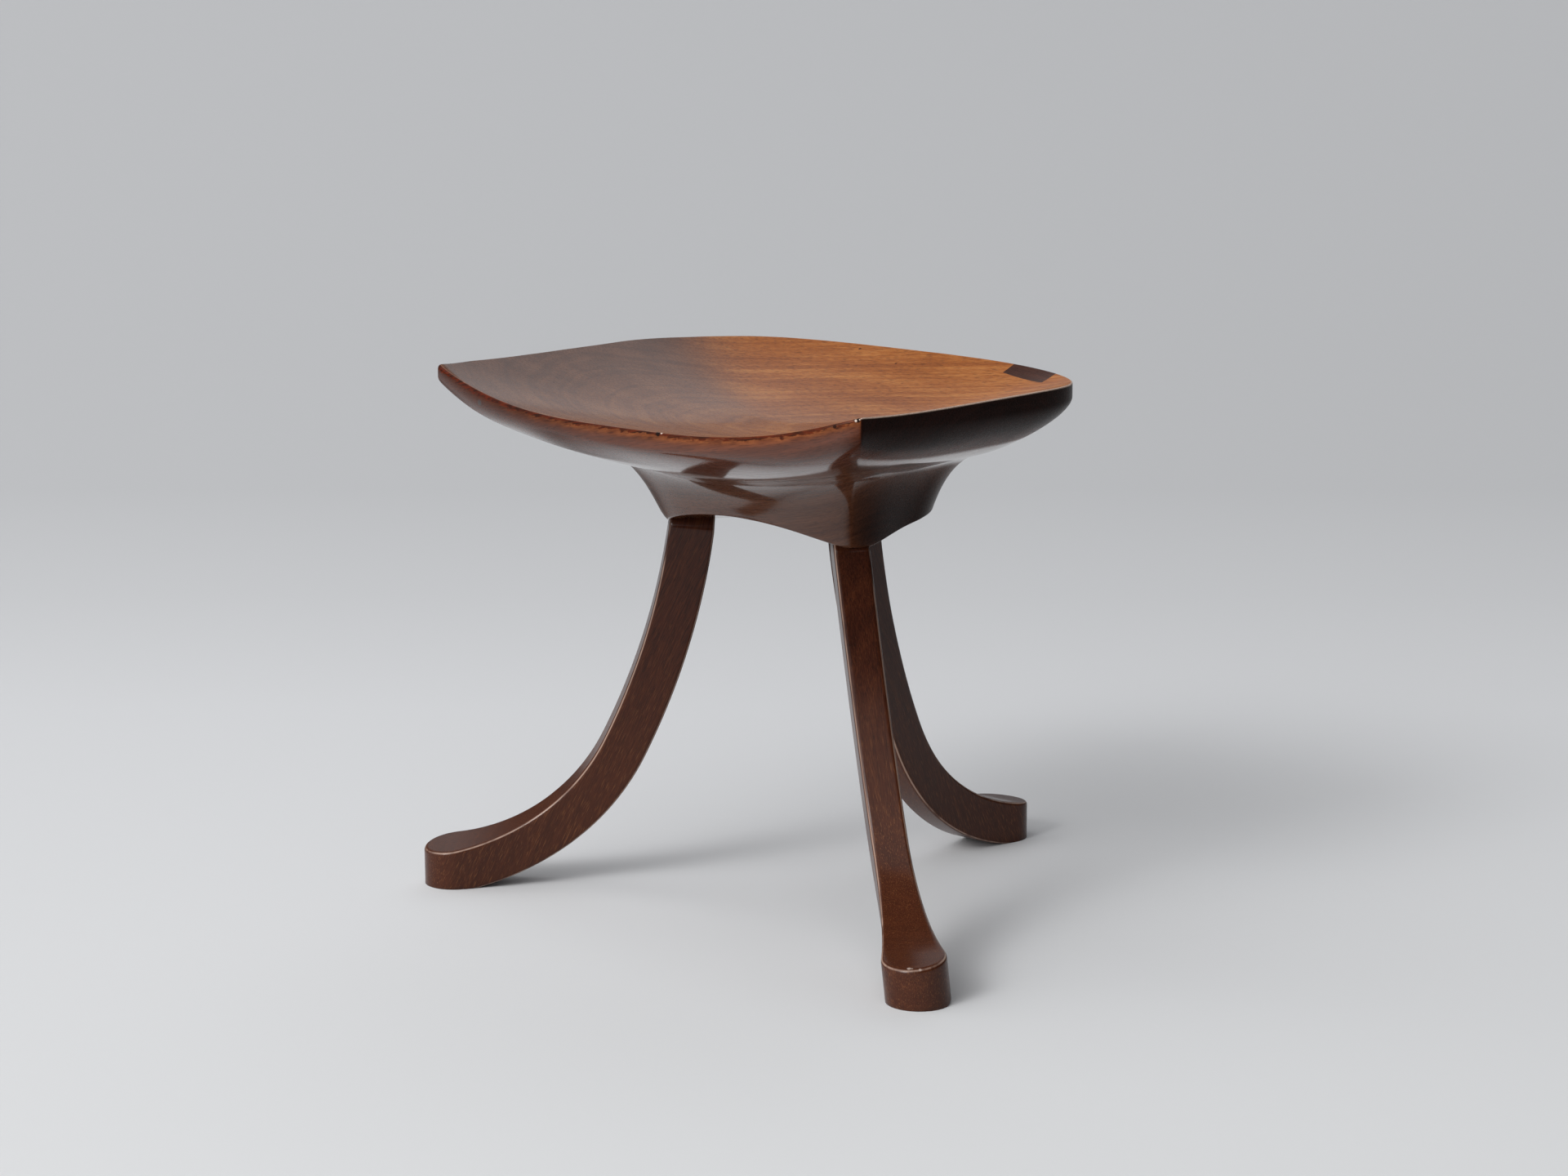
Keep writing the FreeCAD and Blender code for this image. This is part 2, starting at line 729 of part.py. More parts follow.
def make_leg(leg, room):
    """One leg with its tenon, and the wedge that spreads it."""
    trimmed = doc.addObject("Part::Common", "trimmed_" + leg.name)
    trimmed.Base = make_leg_blank(leg)
    trimmed.Tool = room
    tenoned = doc.addObject("Part::Fuse", "tenoned_" + leg.name)
    tenoned.Base = trimmed
    tenoned.Tool = make_tenon(leg)
    wedge = make_wedge(leg)
    finished = doc.addObject("Part::Cut", "leg_" + leg.name)
    finished.Base = tenoned
    finished.Tool = wedge
    return [finished, wedge]


def export(parts):
    """Check every object and write one file per piece."""
    doc.recompute()
    for item in doc.Objects:
        if "Invalid" in item.State or "Error" in item.State:
            raise RuntimeError(f"{item.Name}: {item.State}")
    os.makedirs("parts", exist_ok=True)
    for part in parts:
        part.Label = part.Name
        if part.Shape.isNull() or not part.Shape.isValid() or len(part.Shape.Solids) != 1:
            raise RuntimeError(f"{part.Label}: not one sound solid")
        part.Shape.exportStep(f"parts/{part.Label}.step")
        print(part.Label, round(part.Shape.Volume), part.Shape.BoundBox)


carved_scoops = make_scoops()
pieces = make_seat(carved_scoops)
space = make_room(carved_scoops)
for each_leg in LEGS:
    pieces += make_leg(each_leg, space)
export(pieces)
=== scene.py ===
"""Looks of a three-legged mahogany stool: polished dished seat, curved legs, a plain pale studio.

Lengths are millimetres, as in the part's source, unless a class says metres. Meshes are in metres.
"""

import logging
import math
from collections.abc import Callable
from dataclasses import dataclass
from enum import Enum
from functools import partial

import bmesh
import bpy
import numpy as np
from mathutils import Matrix, Vector


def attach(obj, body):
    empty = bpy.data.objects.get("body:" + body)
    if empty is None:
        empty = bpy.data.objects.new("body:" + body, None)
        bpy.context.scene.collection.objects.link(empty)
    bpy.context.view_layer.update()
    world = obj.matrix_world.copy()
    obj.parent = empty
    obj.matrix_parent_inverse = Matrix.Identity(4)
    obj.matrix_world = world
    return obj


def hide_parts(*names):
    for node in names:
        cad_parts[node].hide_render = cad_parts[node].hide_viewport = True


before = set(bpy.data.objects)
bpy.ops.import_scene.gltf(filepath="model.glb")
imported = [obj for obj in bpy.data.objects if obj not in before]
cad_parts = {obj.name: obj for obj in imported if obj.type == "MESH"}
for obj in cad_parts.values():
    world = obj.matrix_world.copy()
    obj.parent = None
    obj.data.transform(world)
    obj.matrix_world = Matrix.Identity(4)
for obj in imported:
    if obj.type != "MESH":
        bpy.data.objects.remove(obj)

LOG = logging.getLogger("stool")
MM = 0.001
BODY = "root"
# Points closer than this are one point, and points this close to a cut lie on it, in metres
MERGE = 1e-6
ON_CUT = 1e-7

Tree = bpy.types.NodeTree
Node = bpy.types.Node
Socket = bpy.types.NodeSocket
Triple = tuple[float, float, float]
Pair = tuple[float, float]
Shades = tuple[str, str, str]
Stops = tuple[tuple[float, str], ...]
Surface = Callable[[np.ndarray, np.ndarray], np.ndarray]


def linear(code: str) -> tuple[float, float, float, float]:
    """Turn an sRGB hex colour into linear light.

    Args:
        code: Six hex digits.

    Returns:
        Red, green, blue and an alpha of one.
    """
    parts = [int(code[i:i + 2], 16) / 255 for i in (0, 2, 4)]
    light = [c / 12.92 if c <= 0.04045 else ((c + 0.055) / 1.055) ** 2.4 for c in parts]
    return light[0], light[1], light[2], 1.0


class Step(Enum):
    """What one node does: its type, and the settings that make it do so."""

    TIMES = ("ShaderNodeMath", {"operation": "MULTIPLY"})
    TIMES_PLUS = ("ShaderNodeMath", {"operation": "MULTIPLY_ADD"})
    PLUS = ("ShaderNodeMath", {"operation": "ADD"})
    LESS = ("ShaderNodeMath", {"operation": "SUBTRACT"})
    OVER = ("ShaderNodeMath", {"operation": "DIVIDE"})
    AT_LEAST = ("ShaderNodeMath", {"operation": "MAXIMUM"})
    # Share from 0 at one value to 1 at another, straight or easing in and out
    RISE = ("ShaderNodeMapRange", {"interpolation_type": "LINEAR"})
    EASE = ("ShaderNodeMapRange", {"interpolation_type": "SMOOTHSTEP"})
    STRETCH = ("ShaderNodeVectorMath", {"operation": "MULTIPLY"})
    SCALE = ("ShaderNodeVectorMath", {"operation": "SCALE"})
    LENGTH = ("ShaderNodeVectorMath", {"operation": "LENGTH"})
    DISTANCE = ("ShaderNodeVectorMath", {"operation": "DISTANCE"})
    ALONG = ("ShaderNodeVectorMath", {"operation": "DOT_PRODUCT"})
    SPLIT = ("ShaderNodeSeparateXYZ", {})
    PLACE = ("ShaderNodeTexCoord", {})
    READ = ("ShaderNodeAttribute", {"attribute_type": "GEOMETRY"})
    NOISE = ("ShaderNodeTexNoise", {})
    SCALE_OF_COLOURS = ("ShaderNodeValToRGB", {})
    # Second colour or number over the first, by a share
    MIX = ("ShaderNodeMix", {"data_type": "RGBA"})
    TINT = ("ShaderNodeMix", {"data_type": "RGBA", "blend_type": "MULTIPLY"})
    MIX_NUMBERS = ("ShaderNodeMix", {"data_type": "FLOAT"})
    BUMP = ("ShaderNodeBump", {})
    SURFACE = ("ShaderNodeBsdfPrincipled", {})
    OUTPUT = ("ShaderNodeOutputMaterial", {})


def add_node(
    tree: Tree,
    step: Step | str,
    *values: object,
    named: dict[str, object] | None = None,
    stops: Stops = (),
    **settings: object,
) -> Node:
    """Add one node with its settings and its links.

    Args:
        tree: Tree that gets the node.
        step: What the node does, or the name of its type.
        values: What goes into the inputs that the node shows, in order: a socket, a node or a plain value.
            A node stands for the first output that it shows.
        named: The same by the names of inputs.
        stops: Position and sRGB hex colour of each stop, for a scale of colours.
        settings: Attributes of the node.

    Returns:
        The new node.
    """
    kind, usual = step.value if isinstance(step, Step) else (step, {})
    node = tree.nodes.new(kind)
    for name, value in {**usual, **settings}.items():
        setattr(node, name, value)
    shown = [socket for socket in node.inputs if socket.enabled]
    wires = list(zip(shown, values)) + [(node.inputs[name], source) for name, source in (named or {}).items()]
    for socket, source in wires:
        if isinstance(source, Node):
            source = next(output for output in source.outputs if output.enabled)
        if isinstance(source, Socket):
            tree.links.new(source, socket)
        else:
            socket.default_value = source
    if stops:
        scale = node.color_ramp.elements
        while len(scale) < len(stops):
            scale.new(0.5)
        for element, (position, code) in zip(scale, stops):
            element.position = position
            element.color = linear(code)
    return node


def smooth(value: np.ndarray | float, start: float, end: float) -> np.ndarray:
    """Share from 0 at start to 1 at end, easing in and out.

    Args:
        value: Where to read it.
        start: Value that gives 0.
        end: Value that gives 1.

    Returns:
        The share, of the same shape as value.
    """
    share = np.clip((np.asarray(value, float) - start) / (end - start), 0.0, 1.0)
    return share * share * (3 - 2 * share)


def cubic(points: np.ndarray, share: np.ndarray) -> np.ndarray:
    """Points along a cubic curve.

    Args:
        points: Its four control points, one per row.
        share: How far along each point lies.

    Returns:
        One row per share.
    """
    t = np.asarray(share)[:, None]
    u = 1 - t
    return u ** 3 * points[0] + 3 * u * u * t * points[1] + 3 * u * t * t * points[2] + t ** 3 * points[3]


def new_piece(name: str, mesh: bpy.types.Mesh) -> bpy.types.Object:
    """Put a mesh into the scene as an object at the origin.

    Args:
        name: Name of the object.
        mesh: Its mesh.

    Returns:
        The object.
    """
    piece = bpy.data.objects.new(name, mesh)
    bpy.context.scene.collection.objects.link(piece)
    return piece


def store(mesh: bpy.types.Mesh, name: str, values: np.ndarray) -> None:
    """Keep a number or a vector per vertex under a name.

    Args:
        mesh: Mesh that gets the attribute.
        name: Name of the attribute.
        values: One number, or one row of three, per vertex.
    """
    vector = values.ndim == 2
    layer = mesh.attributes.new(name, "FLOAT_VECTOR" if vector else "FLOAT", "POINT")
    layer.data.foreach_set("vector" if vector else "value", values.astype(np.float32).ravel())


@dataclass
class HandWork:
    """Slight unevenness that spokeshave and scraper leave, as one node tree for every carved piece."""

    wave: float = 48.0
    tree: Tree | None = None

    def build(self) -> Tree:
        """Make the node tree: a slow noise that moves the surface in and out, then the finish.

        Returns:
            The tree, which takes a blank and gives it carved and dressed.
        """
        tree = bpy.data.node_groups.new("hand_worked", "GeometryNodeTree")
        for name, way, kind in (
            ("Blank", "INPUT", "NodeSocketGeometry"),
            ("Unevenness", "INPUT", "NodeSocketFloat"),
            ("Wave Length", "INPUT", "NodeSocketFloat"),
            ("Seed", "INPUT", "NodeSocketFloat"),
            ("Finish", "INPUT", "NodeSocketMaterial"),
            ("Carved", "OUTPUT", "NodeSocketGeometry"),
        ):
            tree.interface.new_socket(name, in_out=way, socket_type=kind)
        add = partial(add_node, tree)
        given = add("NodeGroupInput").outputs
        place = add("GeometryNodeInputPosition")
        pitch = add(Step.OVER, 1.0, given["Wave Length"])
        pattern = {"Vector": place, "W": given["Seed"], "Scale": pitch, "Detail": 1.0}
        noise = add(Step.NOISE, named=pattern, noise_dimensions="4D")
        depth = add(Step.TIMES, add(Step.LESS, noise, 0.5), given["Unevenness"])
        shift = add(Step.SCALE, add("GeometryNodeInputNormal"), depth)
        moved = add("GeometryNodeSetPosition", named={"Geometry": given["Blank"], "Offset": shift})
        whole = add("GeometryNodeRealizeInstances", named={"Geometry": moved})
        dressed = add("GeometryNodeSetMaterial", named={"Geometry": whole, "Material": given["Finish"]})
        add("NodeGroupOutput", named={"Carved": dressed})
        return tree

    def carve(
        self, name: str, blank: bpy.types.Mesh, finish: bpy.types.Material, unevenness: float, seed: float
    ) -> bpy.types.Object:
        """Work a blank by hand and keep the result as a plain mesh.

        Args:
            name: Name of the finished piece.
            blank: Mesh to work on.
            finish: Material of the finished piece.
            unevenness: Swing of the surface between hollows and humps, in millimetres.
            seed: Which pattern of hollows and humps it gets.

        Returns:
            The finished piece.
        """
        if self.tree is None:
            self.tree = self.build()
        rough = new_piece(name + "_blank", blank)
        modifier = rough.modifiers.new("hand_worked", "NODES")
        modifier.node_group = self.tree
        values = {
            "Unevenness": unevenness * MM,
            "Wave Length": self.wave * MM,
            "Seed": seed,
            "Finish": finish,
        }
        for socket in self.tree.interface.items_tree:
            if socket.name in values:
                modifier[socket.identifier] = values[socket.name]
        depsgraph = bpy.context.evaluated_depsgraph_get()
        mesh = bpy.data.meshes.new_from_object(
            rough.evaluated_get(depsgraph), preserve_all_data_layers=True, depsgraph=depsgraph
        )
        rough.modifiers.remove(modifier)
        bpy.data.objects.remove(rough)
        mesh.name = name
        mesh.shade_smooth()
        return new_piece(name, mesh)


def new_material(name: str) -> tuple[bpy.types.Material, Tree]:
    """Make an empty node material.

    Args:
        name: Name of the material.

    Returns:
        The material and its tree.
    """
    material = bpy.data.materials.new(name)
    material.use_nodes = True
    material.node_tree.nodes.clear()
    return material, material.node_tree


@dataclass(frozen=True)
class Figure:
    """What shows of a grain in one material: streaks, fibres and pores, and their sum as one tone."""

    tree: Tree
    board: Node
    ribbon: Node
    fibre: Node
    pores: Node | None
    tone: Node
    swing: float

    def shades(self, codes: Shades) -> Node:
        """Colour that goes from dark over middle to light with the tone."""
        places = (0.5 - self.swing, 0.5, 0.5 + self.swing)
        return add_node(self.tree, Step.SCALE_OF_COLOURS, self.tone, stops=tuple(zip(places, codes)))


@dataclass(frozen=True)
class Stroke:
    """Mark drawn along the fibres: its length and width in millimetres, and how much finer detail it has."""

    length: float
    width: float
    detail: float


@dataclass(frozen=True)
class Grain:
    """How a board lay in its tree, and what its marks are like.

    Real pores and flecks are about 0.2 mm wide, too fine to show from here, so they are drawn some three
    times coarser. A plain board has no rings, and its pores are filled.
    """

    heart: Triple
    turn: Triple
    ribbon: Stroke
    fibre: Stroke
    stroke_roughness: float = 0.6
    # Shares of ribbon and fibres in the tone, and how far from one half its darkest and lightest lie
    shares: Pair = (0.5, 0.5)
    swing: float = 0.14
    # Rings: width of one, their share in the tone, and how they waver
    ring: float = 0.0
    ring_share: float = 0.0
    ring_detail: float = 2.0
    ring_roughness: float = 0.65
    waver: Stroke = Stroke(180.0, 45.0, 1.0)
    waver_depth: float = 9.0
    # Pores and flecks, and the noise between which a pore comes to show
    pore: Stroke | None = None
    pore_shows: Pair = (0.60, 0.70)
    fleck: Stroke = Stroke(9.0, 0.5, 1.0)
    # Attribute that holds the place in the uncut board, where the piece isn't straight
    attribute: str = ""

    def place(self, tree: Tree) -> Node:
        """Find the place in the board, with the fibres along its first axis.

        Args:
            tree: Tree that gets the nodes.

        Returns:
            The place, in metres.
        """
        if self.attribute:
            place = add_node(tree, Step.READ, attribute_name=self.attribute).outputs["Vector"]
        else:
            place = add_node(tree, Step.PLACE).outputs["Object"]
        heart, turn = tuple(v * MM for v in self.heart), tuple(math.radians(v) for v in self.turn)
        lie = {"Vector": place, "Location": heart, "Rotation": turn}
        return add_node(tree, "ShaderNodeMapping", named=lie, vector_type="TEXTURE")

    def marks(self, tree: Tree, board: Node, stroke: Stroke) -> Node:
        """Noise drawn out along the fibres.

        Args:
            tree: Tree that gets the nodes.
            board: Place in the board.
            stroke: What one mark is like.

        Returns:
            A value about one half.
        """
        along, across = (1 / (v * MM) for v in (stroke.length, stroke.width))
        drawn = add_node(tree, Step.STRETCH, board, (along, across, across))
        look = {"Vector": drawn, "Scale": 1.0, "Detail": stroke.detail, "Roughness": self.stroke_roughness}
        return add_node(tree, Step.NOISE, named=look)

    def rings(self, tree: Tree, board: Node) -> Node:
        """Growth rings round the heart, wavering a little along the fibres.

        Args:
            tree: Tree that gets the nodes.
            board: Place in the board.

        Returns:
            A value about one half.
        """
        radius = add_node(tree, Step.LENGTH, add_node(tree, Step.STRETCH, board, (0.0, 1.0, 1.0)))
        waver = self.marks(tree, board, self.waver)
        bent = add_node(tree, Step.TIMES_PLUS, waver, self.waver_depth * MM, radius)
        look = {
            "W": bent,
            "Scale": 1 / (self.ring * MM),
            "Detail": self.ring_detail,
            "Roughness": self.ring_roughness,
        }
        return add_node(tree, Step.NOISE, named=look, noise_dimensions="1D")

    def figure(self, tree: Tree) -> Figure:
        """Draw the grain: rings give the arcs, the ribbon broad streaks, the fibres fine lines.

        Args:
            tree: Tree that gets the nodes.

        Returns:
            All that shows of it.
        """
        board = self.place(tree)
        ribbon = self.marks(tree, board, self.ribbon)
        fibre = self.marks(tree, board, self.fibre)
        tone = add_node(tree, Step.TIMES, ribbon, self.shares[0])
        tone = add_node(tree, Step.TIMES_PLUS, fibre, self.shares[1], tone)
        if self.ring:
            tone = add_node(tree, Step.TIMES_PLUS, self.rings(tree, board), self.ring_share, tone)
        pores = None
        if self.pore:
            pores = add_node(tree, Step.EASE, self.marks(tree, board, self.pore), *self.pore_shows)
        return Figure(tree, board, ribbon, fibre, pores, tone, self.swing)


@dataclass(frozen=True)
class FrenchPolish:
    """Thin rubbed-down shellac on close-grained wood: deep colour square on, a clear gloss at a slant."""

    # The wood: its roughness, how far that swings between fibres, and how little it shines under the film
    roughness: float = 0.28
    fibre_roughness: float = 0.12
    specular: float = 0.03
    # The film of shellac
    film_roughness: float = 0.10
    ior: float = 1.5
    # Depth of a pore, how clearly it shows, and the height of the fibres against it
    pore_depth: float = 0.2
    relief: float = 0.25
    fibre_height: float = 0.4

    def apply(self, figure: Figure, colour: Node, film: Node | float) -> None:
        """Finish a material.

        Args:
            figure: Grain under the polish.
            colour: Colour of the wood.
            film: How much of the polish still stands on the wood.
        """
        add = partial(add_node, figure.tree)
        least = self.roughness - self.fibre_roughness / 2
        rough = add(Step.TIMES_PLUS, figure.fibre, self.fibre_roughness, least)
        height = figure.fibre
        if figure.pores is not None:
            height = add(Step.LESS, add(Step.TIMES, figure.fibre, self.fibre_height), figure.pores)
        uneven = {"Height": height, "Strength": self.relief, "Distance": self.pore_depth * MM}
        bump = add(Step.BUMP, named=uneven)
        surface = add(Step.SURFACE, named={
            "Base Color": colour,
            "Roughness": rough,
            "IOR": self.ior,
            "Specular IOR Level": self.specular,
            "Coat Weight": film,
            "Coat Roughness": self.film_roughness,
            "Coat IOR": self.ior,
            "Normal": bump,
        })
        add(Step.OUTPUT, named={"Surface": surface})


@dataclass(frozen=True)
class Mark:
    """Small bruise, chip or speck: where it is, how far it reaches, its colour and the share that is full."""

    place: Triple
    reach: float
    colour: str
    full: float = 0.55

    def drawn(self, tree: Tree, place: Socket, colour: Node) -> Node:
        """Add the mark to a colour.

        Args:
            tree: Tree that gets the nodes.
            place: Place on the piece, in metres.
            colour: Colour of the wood without the mark.

        Returns:
            The colour with the mark.
        """
        away = add_node(tree, Step.DISTANCE, place, tuple(v * MM for v in self.place))
        share = add_node(tree, Step.EASE, away, self.reach * MM, self.full * self.reach * MM)
        return add_node(tree, Step.MIX, share, colour, linear(self.colour))


@dataclass(frozen=True)
class SeatMahogany:
    """Mahogany of the seat: worn golden on the dish, dark red-brown below, darkest on its end grain.

    Bands lie by the way from the rim in millimetres, which is negative below it, and sides by X in metres.
    Each pair goes from where a look is absent to where it is full.
    """

    grain: Grain = Grain(
        heart=(0.0, -62.0, 205.0),
        turn=(0.0, -11.0, 3.0),
        ribbon=Stroke(260.0, 16.0, 2.0),
        fibre=Stroke(26.0, 1.1, 3.0),
        shares=(0.37, 0.35),
        swing=0.12,
        ring=3.4,
        ring_share=0.28,
        pore=Stroke(7.0, 0.75, 0.0),
    )
    polish: FrenchPolish = FrenchPolish()
    dish: Shades = ("80461e", "965726", "ac6f38")
    # Darker, greyer dish where its fibres dive in, most on the left slope: partly end grain, partly painted
    # shade and sheen
    shade: Shades = ("452a1e", "543627", "634130")
    flank: Shades = ("472416", "562c1b", "653622")
    # Greyer neck below the flank: a painted sheen
    neck: Shades = ("452619", "523120", "5f3a28")
    end: Shades = ("120704", "1a0a06", "220e08")
    worn: str = "94552e"
    stain: str = "2a0f07"
    dirt: str = "5a200c"
    # Pale colour of the side and back arris: a painted highlight
    arris: str = "cdb3a2"
    pore_stain: float = 0.35
    # Dish, neck with its painted sheen, and bowl with its open end grain, darkened further as painted shade
    dish_band: Pair = (-0.6, 0.8)
    neck_sheen_band: Pair = (-18.0, -75.0)
    bowl_band: Pair = (-58.0, -38.0)
    bowl_side: Pair = (-0.110, -0.050)
    bowl_grain_and_shade: float = 0.8
    end_cut: Pair = (0.15, 0.95)
    shade_cut: Pair = (0.02, 0.58)
    # Front edge by Y in metres; rubbed band, old finish kept at the left, and their ragged outlines
    front_edge: Pair = (-0.160, -0.182)
    rubbed_band: Pair = (-7.5, -1.5)
    rubbed_side: Pair = (-0.175, -0.040)
    rubbed_noise: Pair = (0.25, 0.75)
    kept_band: Pair = (-20.0, -6.0)
    kept_side: Pair = (0.010, -0.090)
    kept_share: float = 0.5
    ragged: Stroke = Stroke(13.0, 3.0, 4.0)
    frayed: Stroke = Stroke(4.0, 1.5, 3.0)
    # Dirt on the brow: how far noise and side shift its line, where it starts and where it stops
    ragged_shift: float = 8.0
    frayed_shift: float = 6.0
    side_shift: float = 1.6
    dirt_side: Pair = (-0.040, -0.170)
    dirt_line: Pair = (4.4, 5.4)
    dirt_stop: Pair = (0.7, 0.2)
    dirt_fibre: Pair = (0.40, 0.62)
    dirt_share: float = 0.95
    # Pale arris: a painted highlight along the rounded edge
    edge_highlight_below: Pair = (-1.6, -0.6)
    edge_highlight_above: Pair = (1.2, 0.2)
    edge_highlight_share: float = 0.9
    # Polish lost on end grain and along the edge, and left on the dish
    dull_cut: Pair = (0.30, 0.48)
    dull_share: float = 0.97
    thin_band: Pair = (-9.0, -2.0)
    thin_share: float = 0.85
    sat_side: Pair = (0.050, -0.080)
    sat_film: float = 0.22
    # Dents in the front, chips in the brow with pale spots beside them that are painted glints, and specks
    # inside the back
    marks: tuple[Mark, ...] = (
        Mark((-130.8, -192.6, 336.5), 2.4, "3b302e"),
        Mark((-112.6, -194.0, 330.6), 1.2, "33180e"),
        Mark((30.8, -198.8, 333.9), 2.2, "1a0a05"),
        # Pale spot by the chip: a painted glint
        Mark((33.6, -198.7, 334.6), 1.0, "cbb6a8"),
        Mark((162.0, -188.0, 350.2), 1.8, "2a120a"),
        Mark((176.6, -183.6, 355.0), 1.7, "1a0c08"),
        # Pale spots by the chip: painted glints
        Mark((175.2, -184.1, 354.6), 1.0, "c9b9ad"),
        Mark((177.6, -183.5, 355.4), 0.6, "bba99c"),
        Mark((-26.7, 58.7, 355.0), 1.2, "3c1c0d"),
        Mark((12.7, 48.7, 349.7), 1.1, "4a240f"),
    )

    def material(self) -> bpy.types.Material:
        """Build the material.

        Returns:
            The material.
        """
        material, tree = new_material("seat_mahogany")
        add = partial(add_node, tree)
        figure = self.grain.figure(tree)
        way = add(Step.READ, attribute_name="rim").outputs["Fac"]
        cut = add(Step.READ, attribute_name="end_grain").outputs["Fac"]
        spot = add(Step.PLACE).outputs["Object"]
        x, y, _ = add(Step.SPLIT, spot).outputs
        # The bowl shows open end grain sooner than the neck, except at the left, and that takes stain and
        # polish deeper: partly end grain, partly painted shade where the bowl turns under
        bowl = add(Step.TIMES, add(Step.EASE, way, *self.bowl_band), add(Step.EASE, x, *self.bowl_side))
        grain_with_bowl_shade = add(Step.TIMES, cut, add(Step.TIMES_PLUS, bowl, self.bowl_grain_and_shade, 1.0))
        end = add(Step.EASE, grain_with_bowl_shade, *self.end_cut)
        flank, neck = figure.shades(self.flank), figure.shades(self.neck)
        # Greyer neck further below the rim: a painted sheen
        below = add(Step.MIX, add(Step.EASE, way, *self.neck_sheen_band), flank, neck)
        outside = add(Step.MIX, end, below, figure.shades(self.end))
        # Darker, greyer dish where its fibres dive in: partly end grain, partly painted shade and sheen
        dish, shade = figure.shades(self.dish), figure.shades(self.shade)
        inside = add(Step.MIX, add(Step.EASE, cut, *self.shade_cut), dish, shade)
        # Polish rubbed through along the front edge, orange above and fading down the bowl
        ragged = self.grain.marks(tree, figure.board, self.ragged)
        long_side = add(Step.TIMES, add(Step.EASE, y, *self.front_edge), add(Step.LESS, 1.0, end))
        rubbed = add(Step.TIMES, add(Step.EASE, way, *self.rubbed_band), long_side)
        rubbed = add(Step.TIMES, rubbed, add(Step.EASE, ragged, *self.rubbed_noise))
        rubbed = add(Step.TIMES, rubbed, add(Step.EASE, x, *self.rubbed_side))
        outside = add(Step.MIX, rubbed, outside, linear(self.worn))
        # Darker band under the front rim at the left, where the old finish is kept
        kept = add(Step.TIMES, add(Step.EASE, way, *self.kept_band), add(Step.EASE, x, *self.kept_side))
        kept = add(Step.TIMES, add(Step.TIMES, kept, long_side), self.kept_share)
        outside = add(Step.MIX, kept, outside, linear(self.stain))
        on_dish = add(Step.EASE, way, *self.dish_band)
        colour = add(Step.MIX, on_dish, outside, inside)
        # Old dark finish and dirt that sit on the brow in a ragged line
        frayed = self.grain.marks(tree, figure.board, self.frayed)
        brow = add(Step.TIMES_PLUS, frayed, self.frayed_shift, way)
        brow = add(Step.TIMES_PLUS, ragged, self.ragged_shift, brow)
        brow = add(Step.TIMES_PLUS, add(Step.EASE, x, *self.dirt_side), self.side_shift, brow)
        dirt = add(Step.TIMES, add(Step.EASE, brow, *self.dirt_line), add(Step.EASE, way, *self.dirt_stop))
        dirt = add(Step.TIMES, add(Step.TIMES, dirt, long_side), self.dirt_share)
        dark = add(Step.EASE, figure.fibre, *self.dirt_fibre)
        colour = add(Step.MIX, dirt, colour, add(Step.MIX, dark, linear(self.dirt), linear(self.stain)))
        # Arris of the sides and back, painted pale as a highlight along the rounded edge
        arris = add(Step.TIMES, add(Step.EASE, way, *self.edge_highlight_below), add(Step.LESS, 1.0, long_side))
        arris = add(Step.TIMES, arris, add(Step.EASE, way, *self.edge_highlight_above))
        colour = add(Step.MIX, add(Step.TIMES, arris, self.edge_highlight_share), colour, linear(self.arris))
        colour = add(Step.MIX, add(Step.TIMES, figure.pores, self.pore_stain), colour, linear(self.stain))
        for mark in self.marks:
            colour = mark.drawn(tree, spot, colour)
        # End grain drinks the polish, rubbing thins it along the edge, and sitting wears it off the dish
        film = add(Step.TIMES_PLUS, add(Step.EASE, grain_with_bowl_shade, *self.dull_cut), -self.dull_share, 1.0)
        thin = add(Step.TIMES_PLUS, add(Step.EASE, way, *self.thin_band), -self.thin_share, 1.0)
        film = add(Step.TIMES, film, thin)
        sat_on = add(Step.TIMES_PLUS, add(Step.EASE, x, *self.sat_side), self.sat_film, self.sat_film)
        film = add(Step.MIX_NUMBERS, on_dish, film, sat_on)
        self.polish.apply(figure, colour, film)
        return material


